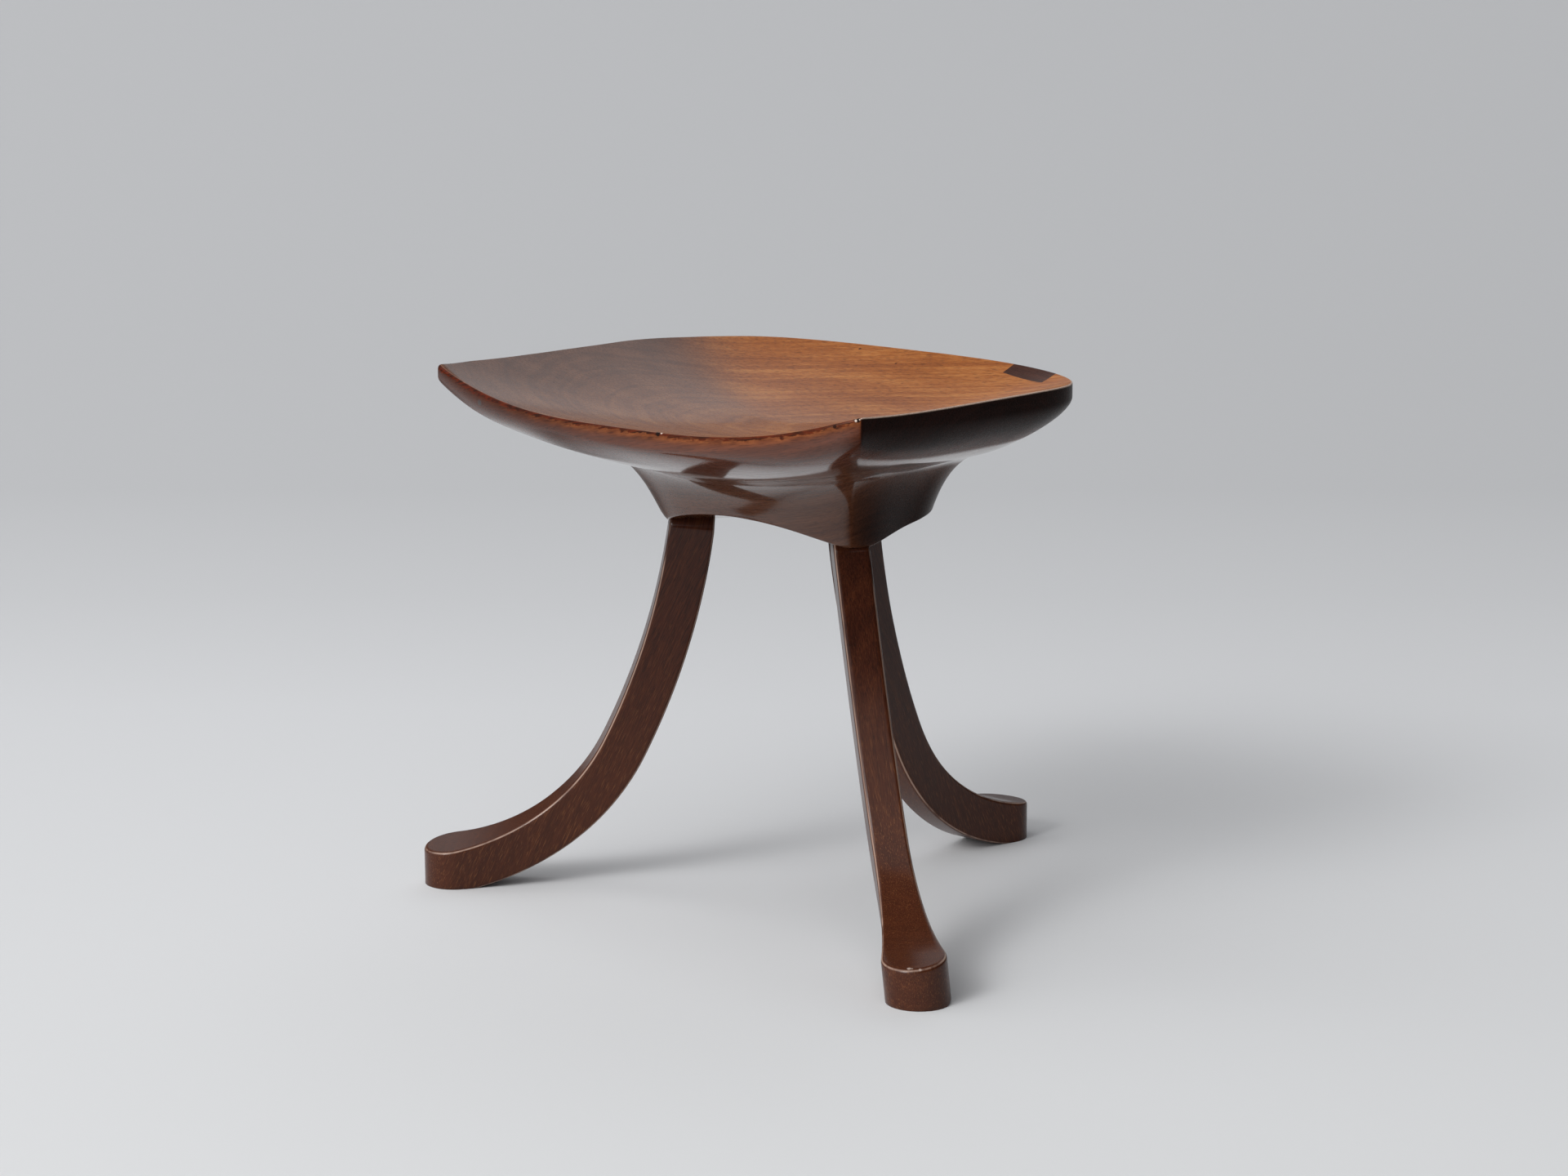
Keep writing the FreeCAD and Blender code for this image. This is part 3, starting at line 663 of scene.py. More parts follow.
@dataclass(frozen=True)
class LegMahogany:
    """Mahogany of the legs: dark red-brown with long pores, paler along the arrises, partly where hands and
    feet wore them and partly as a painted highlight.

    Heights are metres above the floor.
    """

    grain: Grain = Grain(
        heart=(-60.0, 25.0, -100.0),
        turn=(0.0, 66.0, 0.0),
        ribbon=Stroke(200.0, 9.0, 2.0),
        fibre=Stroke(22.0, 0.8, 3.0),
        shares=(0.25, 0.5),
        swing=0.16,
        ring=4.0,
        ring_share=0.25,
        pore=Stroke(6.0, 0.6, 0.0),
        attribute="board",
    )
    polish: FrenchPolish = FrenchPolish(roughness=0.32, fibre_roughness=0.14, film_roughness=0.16)
    film: float = 0.4
    body: Shades = ("28110a", "38190e", "492514")
    stain: str = "1f0e08"
    pore_stain: float = 0.5
    # Lower leg lighter and redder as painted light, which leaves the upper leg darker as painted shade under
    # the seat, with dust in its flecks
    rubbed: str = "5f3624"
    lighter_low_height: Pair = (0.210, 0.060)
    lighter_low_share: float = 0.25
    dust: str = "8a5834"
    fleck_shows: Pair = (0.56, 0.70)
    dust_low: float = 0.25
    dust_high: float = 0.08
    # Arrises, pale here and there: partly wear, partly a painted highlight
    worn: str = "b09484"
    arris_highlight_band: Pair = (0.80, 1.0)
    arris_highlight_patches: Pair = (0.25, 0.6)
    wear_and_highlight_share: float = 0.8
    # Bare spots on the toe of the front right leg
    marks: tuple[Mark, ...] = (
        Mark((207.8, -171.6, 26.0), 1.5, "a8968c"),
        Mark((209.4, -170.9, 26.3), 1.0, "8f7c72"),
        Mark((213.9, -168.6, 25.7), 1.1, "9d8a80"),
    )

    def material(self) -> bpy.types.Material:
        """Build the material.

        Returns:
            The material.
        """
        material, tree = new_material("leg_mahogany")
        add = partial(add_node, tree)
        figure = self.grain.figure(tree)
        colour = figure.shades(self.body)
        colour = add(Step.MIX, add(Step.TIMES, figure.pores, self.pore_stain), colour, linear(self.stain))
        spot = add(Step.PLACE).outputs["Object"]
        # Painted light: the lower leg lighter and redder, the upper leg left darker as painted shade under
        # the seat
        low = add(Step.EASE, add(Step.SPLIT, spot).outputs["Z"], *self.lighter_low_height)
        colour = add(Step.MIX, add(Step.TIMES, low, self.lighter_low_share), colour, linear(self.rubbed))
        flecks = self.grain.marks(tree, figure.board, self.grain.fleck)
        dusty = add(Step.TIMES_PLUS, low, self.dust_low, self.dust_high)
        dusty = add(Step.TIMES, add(Step.EASE, flecks, *self.fleck_shows), dusty)
        colour = add(Step.MIX, dusty, colour, linear(self.dust))
        # Pale, patchy arris lines: partly wear, partly a painted highlight along the edges
        arris = add(Step.READ, attribute_name="arris").outputs["Fac"]
        patchy = add(Step.EASE, figure.ribbon, *self.arris_highlight_patches)
        worn = add(Step.TIMES, add(Step.EASE, arris, *self.arris_highlight_band), patchy)
        colour = add(Step.MIX, add(Step.TIMES, worn, self.wear_and_highlight_share), colour, linear(self.worn))
        for mark in self.marks:
            colour = mark.drawn(tree, spot, colour)
        self.polish.apply(figure, colour, self.film)
        return material


@dataclass(frozen=True)
class PlainWood:
    """Straight-grained wood of a small piece: an even colour with a quiet figure, and little polish."""

    name: str
    shades: Shades
    grain: Grain
    polish: FrenchPolish = FrenchPolish()
    film: float = 0.2

    def material(self) -> bpy.types.Material:
        """Build the material.

        Returns:
            The material.
        """
        material, tree = new_material(self.name)
        figure = self.grain.figure(tree)
        self.polish.apply(figure, figure.shades(self.shades), self.film)
        return material


@dataclass
class Seat:
    """Dished seat with its hollow neck and three-cornered boss, in the sizes of the solid it stands for."""

    boss_level: float = 251.32
    # Rim, in plan; drops are how far the fullest line of the bowl lies below the level of the corners
    width: float = 358.0
    corner_y: float = -183.0
    front_bow: float = 16.5
    front_flat: float = 70.5
    front_corner: Triple = (39.0, 12.0, 12.0)
    front_drop: float = 22.7
    side_end_y: float = -17.0
    side_drop: float = 4.9
    back_corner_depth: float = 77.2
    back_corner_width: float = 147.8
    back_y: float = 64.0
    # Boss, in plan
    leg_corner: Pair = (67.5, -62.5)
    leg_turn: float = 46.1
    leg_half: float = 15.113
    leg_back_y: float = 20.0
    boss_front_y: float = -86.0
    boss_front_run: float = 27.6
    boss_corner_run: float = 17.4
    boss_side: Pair = (80.7, -20.4)
    boss_side_run: float = 23.2
    boss_back_run: float = 56.0
    boss_lip: float = 0.7
    boss_back_lip: float = 3.5
    # Neck and bowl
    bowl_height: float = 96.5
    neck_pull: float = 6.1
    neck_spread: float = 0.066
    fold_height: float = 59.6
    fold_spread: float = 0.48
    fold_rise: float = 18.3
    neck_run: float = 0.378
    bowl_run: float = 0.116
    edge_pull: float = 11.4
    crease_drop: float = 22.0
    nose_run: float = 35.0
    nose_spread: float = 0.6
    block_height: float = 124.0
    # Scoops under the boss
    scoop_radius: float = 300.0
    scoop_slope: float = 10.0
    front_scoop: float = 9.4
    side_scoop: float = 4.9
    # Dish
    dish_floor: float = 70.0
    dish_rise: float = 37.0
    dish_half_width: float = 190.0
    dish_front_depth: float = 226.0
    dish_back_depth: float = 128.0
    dish_center_y: float = -63.5
    front_contour: float = 3.3
    back_contour: float = 6.5
    # Graft let into the rim
    graft_middle: Pair = (121.0, 54.9)
    graft_turn: float = -14.0
    graft_size: Triple = (40.0, 17.0, 10.0)
    # Way of the fibres: from end to end, rising a little to the right
    fibre: Triple = (0.980, 0.051, 0.191)
    # Mesh: levels of the block, columns round each third of half the seat, rows up it, points of its edges
    neck_levels: int = 90
    bowl_levels: int = 120
    edge_levels: int = 60
    front_columns: int = 64
    side_columns: int = 60
    back_columns: int = 56
    corner_crowding: float = 1.5
    under_rows: int = 16
    wall_rows: int = 92
    dish_rows: int = 84
    rim_crowding: float = 1.25
    foot_points: int = 4
    brow_points: int = 9
    under_middle: Pair = (0.0, -35.0)
    # Worn edges: how far the rounding reaches from the edge
    side_ease: float = 1.5
    front_ease: float = 1.3
    tip_ease: float = 5.0
    boss_ease: float = 1.2
    front_turn: float = 6.0
    tip_reach: Pair = (34.0, 3.0)
    # Columns to each side of a front corner that are eased, and how often at the right and the left one
    eased_columns: int = 7
    eased_passes: tuple[int, int] = (5, 4)
    # Way below the rim over which the change to end grain is eased from column to column, and how often
    soft_reach: Pair = (16.0, 46.0)
    soft_passes: int = 160
    # Step that tells the slope of the dish
    slope_step: float = 0.5
    # Hand work
    unevenness: float = 0.5
    seed: float = 3.0

    def rim(self) -> np.ndarray:
        """Right half of the rim, from the front middle to the back middle.

        Returns:
            Control points of three curves, four for each.
        """
        half = self.width / 2
        corner = np.array([half, self.corner_y, 0.0])
        front = np.array([0.0, self.corner_y - self.front_bow, -self.front_drop])
        side = np.array([half, self.side_end_y, -self.side_drop])
        back = np.array([0.0, self.back_y, 0.0])
        pull = np.array([0.0, self.back_corner_depth, 0.0])
        return np.array([
            [front, front + [self.front_flat, 0, 0], corner - self.front_corner, corner],
            [corner, corner + (side - corner) / 3, side - pull, side],
            [side, side + pull, back + [self.back_corner_width, 0, 0], back],
        ])

    def leg_face(self) -> tuple[np.ndarray, np.ndarray]:
        """Where the front right leg meets the boss.

        Returns:
            Middle of the leg's outer face there, and the way the leg points.
        """
        angle = math.radians(self.leg_turn)
        outward = np.array([math.sin(angle), -math.cos(angle), 0.0])
        return np.array([*self.leg_corner, 0.0]) + outward * self.leg_half, outward

    def boss(self) -> np.ndarray:
        """Right half of the boss, from the front middle to the back middle.

        Returns:
            Control points of three curves, four for each.
        """
        face, outward = self.leg_face()
        along = np.array([-outward[1], outward[0], 0.0]) * self.boss_corner_run
        corner = face + outward * self.boss_lip
        front = np.array([0.0, self.boss_front_y, 0.0])
        side = np.array([*self.boss_side, 0.0])
        back = np.array([0.0, self.leg_back_y + self.leg_half + self.boss_back_lip, 0.0])
        pull = np.array([0.0, self.boss_side_run, 0.0])
        return np.array([
            [front, front + [self.boss_front_run, 0, 0], corner - along, corner],
            [corner, corner + along, side - pull, side],
            [side, side + pull, back + [self.boss_back_run, 0, 0], back],
        ])

    def profile(self) -> np.ndarray:
        """Fine levels of the block, from the boss to above the rim.

        Returns:
            Spread, height above the boss and sag at each level.
        """
        fold = np.array([self.fold_spread, self.fold_height])
        line = np.array([1.0, self.fold_rise])
        edge = np.array([1.0, self.bowl_height])
        first = np.array([self.neck_spread, self.neck_pull])
        neck = np.array([(0, 0), first, fold - line * self.neck_run, fold])
        bowl = np.array([fold, fold + line * self.bowl_run, edge - [0, self.edge_pull], edge])
        neck_share, bowl_share = (np.linspace(0, 1, n) for n in (self.neck_levels, self.bowl_levels))
        lower = np.concatenate([cubic(neck, neck_share), cubic(bowl, bowl_share)[1:]])
        lower = np.column_stack([lower, lower[:, 1] / self.bowl_height])
        share = np.linspace(0, 1, self.edge_levels + 1)[1:]
        height = self.bowl_height + (self.block_height - self.bowl_height) * share
        upper = np.column_stack([np.ones_like(share), height, 1 - share])
        return np.concatenate([lower, upper])

    def column_shares(self) -> list[np.ndarray]:
        """Where the columns lie along each of the three curves, closer together at the corner.

        Returns:
            Shares of the way along each curve.
        """
        front = 1 - (1 - np.arange(self.front_columns) / self.front_columns) ** self.corner_crowding
        side = (np.arange(self.side_columns) / self.side_columns) ** self.corner_crowding
        back = np.arange(self.back_columns + 1) / self.back_columns
        return [front, side, back]

    def section(self, spread: float, height: float, sag: float) -> np.ndarray:
        """Outline of the block at one level.

        Args:
            spread: Share of the way from boss outline to rim outline.
            height: Height above the boss.
            sag: Share of the rim's own sag at this height.

        Returns:
            One point per column, round from the front middle by the right.
        """
        low, high = self.boss(), self.rim()
        curves = low + (high - low) * spread
        curves[:, :, 2] = high[:, :, 2] * sag
        crisp = float(smooth(1 - (self.bowl_height - height) / self.crease_drop, 0, 1))
        reach = self.boss_corner_run
        reach += (self.nose_run - reach) * float(smooth(spread / self.nose_spread, 0, 1))
        corner = curves[0, 3].copy()
        run = curves[1, 1] - curves[0, 2]
        run *= reach / np.linalg.norm(run)
        curves[0, 2] = (corner - run) * (1 - crisp) + curves[0, 2] * crisp
        curves[1, 1] = (corner + run) * (1 - crisp) + curves[1, 1] * crisp
        right = np.concatenate([cubic(c, t) for c, t in zip(curves, self.column_shares())])
        left = right[::-1][1:-1] * [-1, 1, 1]
        ring = np.concatenate([right, left])
        ring[:, 2] += self.boss_level + height
        return ring

    def dish(self, x: np.ndarray, y: np.ndarray) -> np.ndarray:
        """Height of the dished top.

        Args:
            x: Places in plan, to the right.
            y: Places in plan, to the back.

        Returns:
            The height at each place.
        """
        behind = y > self.dish_center_y
        contour = np.where(behind, self.back_contour, self.front_contour)
        depth = np.where(behind, self.dish_back_depth, self.dish_front_depth)
        across = np.abs(x) / self.dish_half_width
        along = np.abs(y - self.dish_center_y) / depth
        bowl = (across ** contour + along ** contour) ** (2 / contour)
        return self.boss_level + self.dish_floor + self.dish_rise * bowl

    def underside(self, x: np.ndarray, y: np.ndarray) -> np.ndarray:
        """Height of the scooped underside of the boss.

        Args:
            x: Places in plan, to the right.
            y: Places in plan, to the back.

        Returns:
            The height at each place.
        """
        face, _ = self.leg_face()
        right, left = face[:2], face[:2] * [-1, 1]
        back = np.array([0.0, self.leg_back_y + self.leg_half])
        lift = np.zeros_like(x)
        slope = math.radians(self.scoop_slope)
        for start, end, rise in (
            (left, right, self.front_scoop),
            (right, back, self.side_scoop),
            (back, left, self.side_scoop),
        ):
            chord = (end - start) / np.linalg.norm(end - start)
            outward = np.array([chord[1], -chord[0]])
            offset = np.stack([x, y], -1) - (start + end) / 2
            across = np.clip(offset @ chord, -self.scoop_radius, self.scoop_radius)
            arch = np.sqrt(self.scoop_radius ** 2 - across ** 2) - self.scoop_radius
            lift = np.maximum(lift, rise + (arch + (offset @ outward) * math.sin(slope)) / math.cos(slope))
        return self.boss_level + lift

    def ease(self, edge: np.ndarray) -> float:
        """How far the worn rounding of the rim reaches.

        Args:
            edge: Place on the rim.

        Returns:
            The reach there.
        """
        front = float(smooth(edge[1], self.corner_y + self.front_turn, self.corner_y - self.front_turn))
        away = math.hypot(edge[0] + self.width / 2, edge[1] - self.corner_y)
        tip = float(smooth(away, *self.tip_reach))
        reach = self.side_ease + (self.front_ease - self.side_ease) * front
        return reach + (self.tip_ease - reach) * tip

    def column(self, wall: np.ndarray) -> tuple[np.ndarray, np.ndarray]:
        """One column of the seat, from the middle of the underside over the rim to the middle of the dish.

        Args:
            wall: Points of the block up this column.

        Returns:
            The points, and for each its way from the rim: below it on the wall, above it on the dish.
        """
        def crossing(gap: np.ndarray) -> tuple[int, np.ndarray]:
            """Find where the wall crosses a surface.

            Args:
                gap: Height of each level of the wall above the surface.

            Returns:
                The first level past the crossing, and the point of the crossing.
            """
            k = int(np.argmax(gap > 0))
            if k == 0:
                return 1, wall[0]
            share = gap[k - 1] / (gap[k - 1] - gap[k])
            return k, wall[k - 1] + (wall[k] - wall[k - 1]) * share

        first, low = crossing(wall[:, 2] - self.underside(wall[:, 0], wall[:, 1]))
        last, high = crossing(wall[:, 2] - self.dish(wall[:, 0], wall[:, 1]))
        line = np.concatenate([[low], wall[first:last], [high]])
        way = np.concatenate([[0], np.cumsum(np.linalg.norm(np.diff(line, axis=0), axis=1))])
        rim_ease = self.ease(high)

        def along(lengths: np.ndarray) -> np.ndarray:
            """Points at given lengths up the wall."""
            return np.stack([np.interp(lengths, way, line[:, i]) for i in range(3)], -1)

        def inwards(edge: np.ndarray, middle: np.ndarray, shares: np.ndarray, surface: Surface) -> np.ndarray:
            """Points on a surface from the edge to its middle."""
            plan = edge[:2] + (middle - edge[:2]) * shares[:, None]
            return np.column_stack([plan, surface(plan[:, 0], plan[:, 1])])

        under_middle = np.array(self.under_middle)
        top_middle = np.array([0.0, self.dish_center_y])
        under_start = self.boss_ease / np.linalg.norm(low[:2] - under_middle)
        dish_reach = np.linalg.norm(high[:2] - top_middle)
        dish_start = rim_ease / dish_reach
        under = inwards(low, under_middle, np.linspace(1, under_start, self.under_rows), self.underside)
        spread = np.linspace(0, 1, self.dish_rows) ** self.rim_crowding
        dish_shares = dish_start + (1 - dish_start) * spread
        dish = inwards(high, top_middle, dish_shares, self.dish)
        even = np.linspace(0, 1, self.wall_rows)
        lengths = self.boss_ease + (way[-1] - rim_ease - self.boss_ease) * (smooth(even, 0, 1) + even) / 2
        wall_points = along(lengths)

        def rounding(start: np.ndarray, corner: np.ndarray, end: np.ndarray, count: int) -> np.ndarray:
            """Inner points of a rounded edge."""
            t = np.linspace(0, 1, count + 2)[1:-1, None]
            return (1 - t) ** 2 * start + 2 * (1 - t) * t * corner + t * t * end

        foot = rounding(under[-1], low, wall_points[0], self.foot_points)
        brow = rounding(wall_points[-1], high, dish[0], self.brow_points)
        points = np.concatenate([under, foot, wall_points, brow, dish])
        place = np.concatenate([
            np.full(len(under) + len(foot), -way[-1]),
            lengths - way[-1],
            np.linspace(-rim_ease, rim_ease, self.brow_points + 2)[1:-1],
            dish_shares * dish_reach,
        ])
        return points, place

    def grid(self) -> tuple[np.ndarray, np.ndarray]:
        """Find all points of the seat.

        Returns:
            The points by row and column, and their way from the rim.
        """
        block = np.array([self.section(*level) for level in self.profile()])
        columns = [self.column(block[:, i]) for i in range(block.shape[1])]
        points = np.stack([c[0] for c in columns], 1)
        place = np.stack([c[1] for c in columns], 1)
        count = points.shape[1]
        corners = (self.front_columns, count - self.front_columns)
        for corner, passes in zip(corners, self.eased_passes):
            near = np.arange(corner - self.eased_columns, corner + self.eased_columns + 1)
            for _ in range(passes):
                middle = (points[:, (near - 1) % count] + points[:, (near + 1) % count]) / 2
                points[1:-1, near] += (middle - points[:, near])[1:-1] / 2
        return points, place

    def dish_normals(self, points: np.ndarray) -> np.ndarray:
        """Which way the unworn dish faces.

        Args:
            points: Places above or below the dish.

        Returns:
            A unit vector for each place.
        """
        step = self.slope_step
        x, y = points[:, 0], points[:, 1]
        across = (self.dish(x + step, y) - self.dish(x - step, y)) / (2 * step)
        along = (self.dish(x, y + step) - self.dish(x, y - step)) / (2 * step)
        normals = np.column_stack([-across, -along, np.ones_like(x)])
        return normals / np.linalg.norm(normals, axis=1)[:, None]

    def softened(self, cut: np.ndarray, place: np.ndarray) -> np.ndarray:
        """Ease the change from side grain to end grain where the corner of the bowl is rounded.

        Args:
            cut: Share of end grain by row and column.
            place: Way from the rim by row and column.

        Returns:
            The eased shares.
        """
        share = smooth(-place, *self.soft_reach) / 2
        for _ in range(self.soft_passes):
            beside = (np.roll(cut, 1, axis=1) + np.roll(cut, -1, axis=1)) / 2
            cut = cut + (beside - cut) * share
        return cut

    def mesh(self) -> bpy.types.Mesh:
        """Make the seat as one closed mesh.

        Returns:
            The mesh, with its way from the rim and its share of end grain as attributes.
        """
        points, place = self.grid()
        rows, columns = points.shape[:2]
        body = points[1:-1]
        vertices = np.concatenate([[points[0, 0]], body.reshape(-1, 3), [points[-1, 0]]]) * MM
        ways = np.concatenate([[place[0, 0]], place[1:-1].ravel(), [place[-1, 0]]])

        def at(row: int, column: int) -> int:
            """Number of a vertex."""
            return 1 + row * columns + column % columns

        faces = [(0, at(0, c + 1), at(0, c)) for c in range(columns)]
        for r in range(rows - 3):
            faces += [(at(r, c), at(r, c + 1), at(r + 1, c + 1), at(r + 1, c)) for c in range(columns)]
        pole = len(vertices) - 1
        faces += [(at(rows - 3, c), at(rows - 3, c + 1), pole) for c in range(columns)]
        mesh = bpy.data.meshes.new("seat_carved")
        mesh.from_pydata(vertices.tolist(), [], faces)
        mesh.update()
        normals = np.empty(len(vertices) * 3, np.float32)
        mesh.vertex_normals.foreach_get("vector", normals)
        normals = np.where(ways[:, None] > 0, self.dish_normals(vertices / MM), normals.reshape(-1, 3))
        cut = np.abs(normals @ self.fibre)
        cut[1:-1] = self.softened(cut[1:-1].reshape(body.shape[:2]), place[1:-1]).ravel()
        store(mesh, "rim", ways)
        store(mesh, "end_grain", cut)
        return mesh

    def build(self, hand: HandWork, finish: bpy.types.Material) -> bpy.types.Object:
        """Carve the seat and dress it."""
        return hand.carve("seat_carved", self.mesh(), finish, self.unevenness, self.seed)


@dataclass
class Graft:
    """Darker piece let into the rim at the back right, cut from the carved seat, so that its top runs on."""

    seat: Seat
    shades: Shades = ("2f170f", "3b1e13", "49281a")
    # Reach of the cuts beyond the graft, how far its walls run in, and how far forward they aim
    margin: float = 10.0
    recess: float = 0.5
    core_forward: float = 4.0
    # Height of the place from which its grain is measured
    grain_level: float = 350.0

    def frame(self) -> tuple[Vector, Vector, Vector]:
        """Where the graft lies, in metres.

        Returns:
            Middle of its bottom, and its directions along and across.
        """
        x, y = self.seat.graft_middle
        top = float(self.seat.dish(np.array([x]), np.array([y]))[0])
        turn = math.radians(self.seat.graft_turn)
        middle = Vector((x, y, top - self.seat.graft_size[2])) * MM
        along = Vector((math.cos(turn), math.sin(turn), 0))
        return middle, along, Vector((-along.y, along.x, 0))

    def inside(self, shell: bmesh.types.BMesh, margin: float = 0.0) -> list[bmesh.types.BMFace]:
        """Find the faces that lie within the graft.

        Args:
            shell: Shell to search.
            margin: How far outside the graft they may lie.

        Returns:
            The faces.
        """
        middle, along, across = self.frame()
        length, width, _ = self.seat.graft_size
        reach, half = (length / 2 + margin) * MM, (width / 2 + margin) * MM
        found = []
        for face in shell.faces:
            offset = face.calc_center_median() - middle
            if offset.z > -margin * MM and abs(offset.dot(along)) < reach and abs(offset.dot(across)) < half:
                found.append(face)
        return found

    def close(self, shell: bmesh.types.BMesh) -> None:
        """Close an open shell with walls that run in towards the graft's own middle, and a floor.

        Args:
            shell: Shell with one open rim.
        """
        def open_edges() -> list[bmesh.types.BMEdge]:
            """Edges with a face on one side only."""
            return [edge for edge in shell.edges if len(edge.link_faces) == 1]

        middle, _, across = self.frame()
        core = middle - across * self.core_forward * MM
        rim = open_edges()
        for edge in rim:
            edge.smooth = False
        walls = bmesh.ops.extrude_edge_only(shell, edges=rim)["geom"]
        for vertex in walls:
            if isinstance(vertex, bmesh.types.BMVert):
                vertex.co = vertex.co.lerp(core, self.recess)
        bmesh.ops.holes_fill(shell, edges=open_edges(), sides=0)
        bmesh.ops.recalc_face_normals(shell, faces=shell.faces)

    def cut_from(self, seat: bpy.types.Object) -> bpy.types.Mesh:
        """Take the graft out of the seat.

        Args:
            seat: Carved seat, which keeps a recess.

        Returns:
            Mesh of the graft.
        """
        middle, along, across = self.frame()
        length, width, _ = self.seat.graft_size
        planes = [(middle + along * s * length / 2 * MM, along) for s in (-1, 1)]
        planes += [(middle + across * s * width / 2 * MM, across) for s in (-1, 1)]
        planes.append((middle, Vector((0, 0, 1))))
        shell = bmesh.new()
        shell.from_mesh(seat.data)
        for place, normal in planes:
            near = {item for f in self.inside(shell, self.margin) for item in (f, *f.edges, *f.verts)}
            bmesh.ops.bisect_plane(shell, geom=list(near), plane_co=place, plane_no=normal, dist=ON_CUT)
        piece = shell.copy()
        kept = set(self.inside(piece))
        bmesh.ops.delete(piece, geom=[f for f in piece.faces if f not in kept], context="FACES")
        bmesh.ops.delete(shell, geom=self.inside(shell), context="FACES")
        mesh = bpy.data.meshes.new("rim_graft")
        for part, target in ((shell, seat.data), (piece, mesh)):
            self.close(part)
            part.to_mesh(target)
            part.free()
            target.update()
        return mesh

    def finish(self) -> bpy.types.Material:
        """Dark wood with its grain along the graft.

        Returns:
            The material.
        """
        heart = (*self.seat.graft_middle, self.grain_level)
        turn = (0.0, 0.0, self.seat.graft_turn)
        grain = Grain(heart, turn, ribbon=Stroke(80.0, 5.0, 2.0), fibre=Stroke(14.0, 0.7, 3.0))
        return PlainWood("graft_wood", self.shades, grain).material()

    def build(self, seat: bpy.types.Object) -> bpy.types.Object:
        """Cut the graft out of the carved seat and dress it.

        Args:
            seat: Carved seat.

        Returns:
            The finished piece.
        """
        piece = new_piece("rim_graft", self.cut_from(seat))
        piece.data.materials.append(self.finish())
        piece.data.shade_smooth()
        return piece


class Corner(Enum):
    """Corner of the boss where a leg stands: its shoulder in plan, its heading and its lean in degrees."""

    FRONT_LEFT = (-67.5, -62.5, 223.9, -6.0)
    FRONT_RIGHT = (67.5, -62.5, 316.1, 6.0)
    BACK = (0.0, 20.0, 90.0, 0.0)


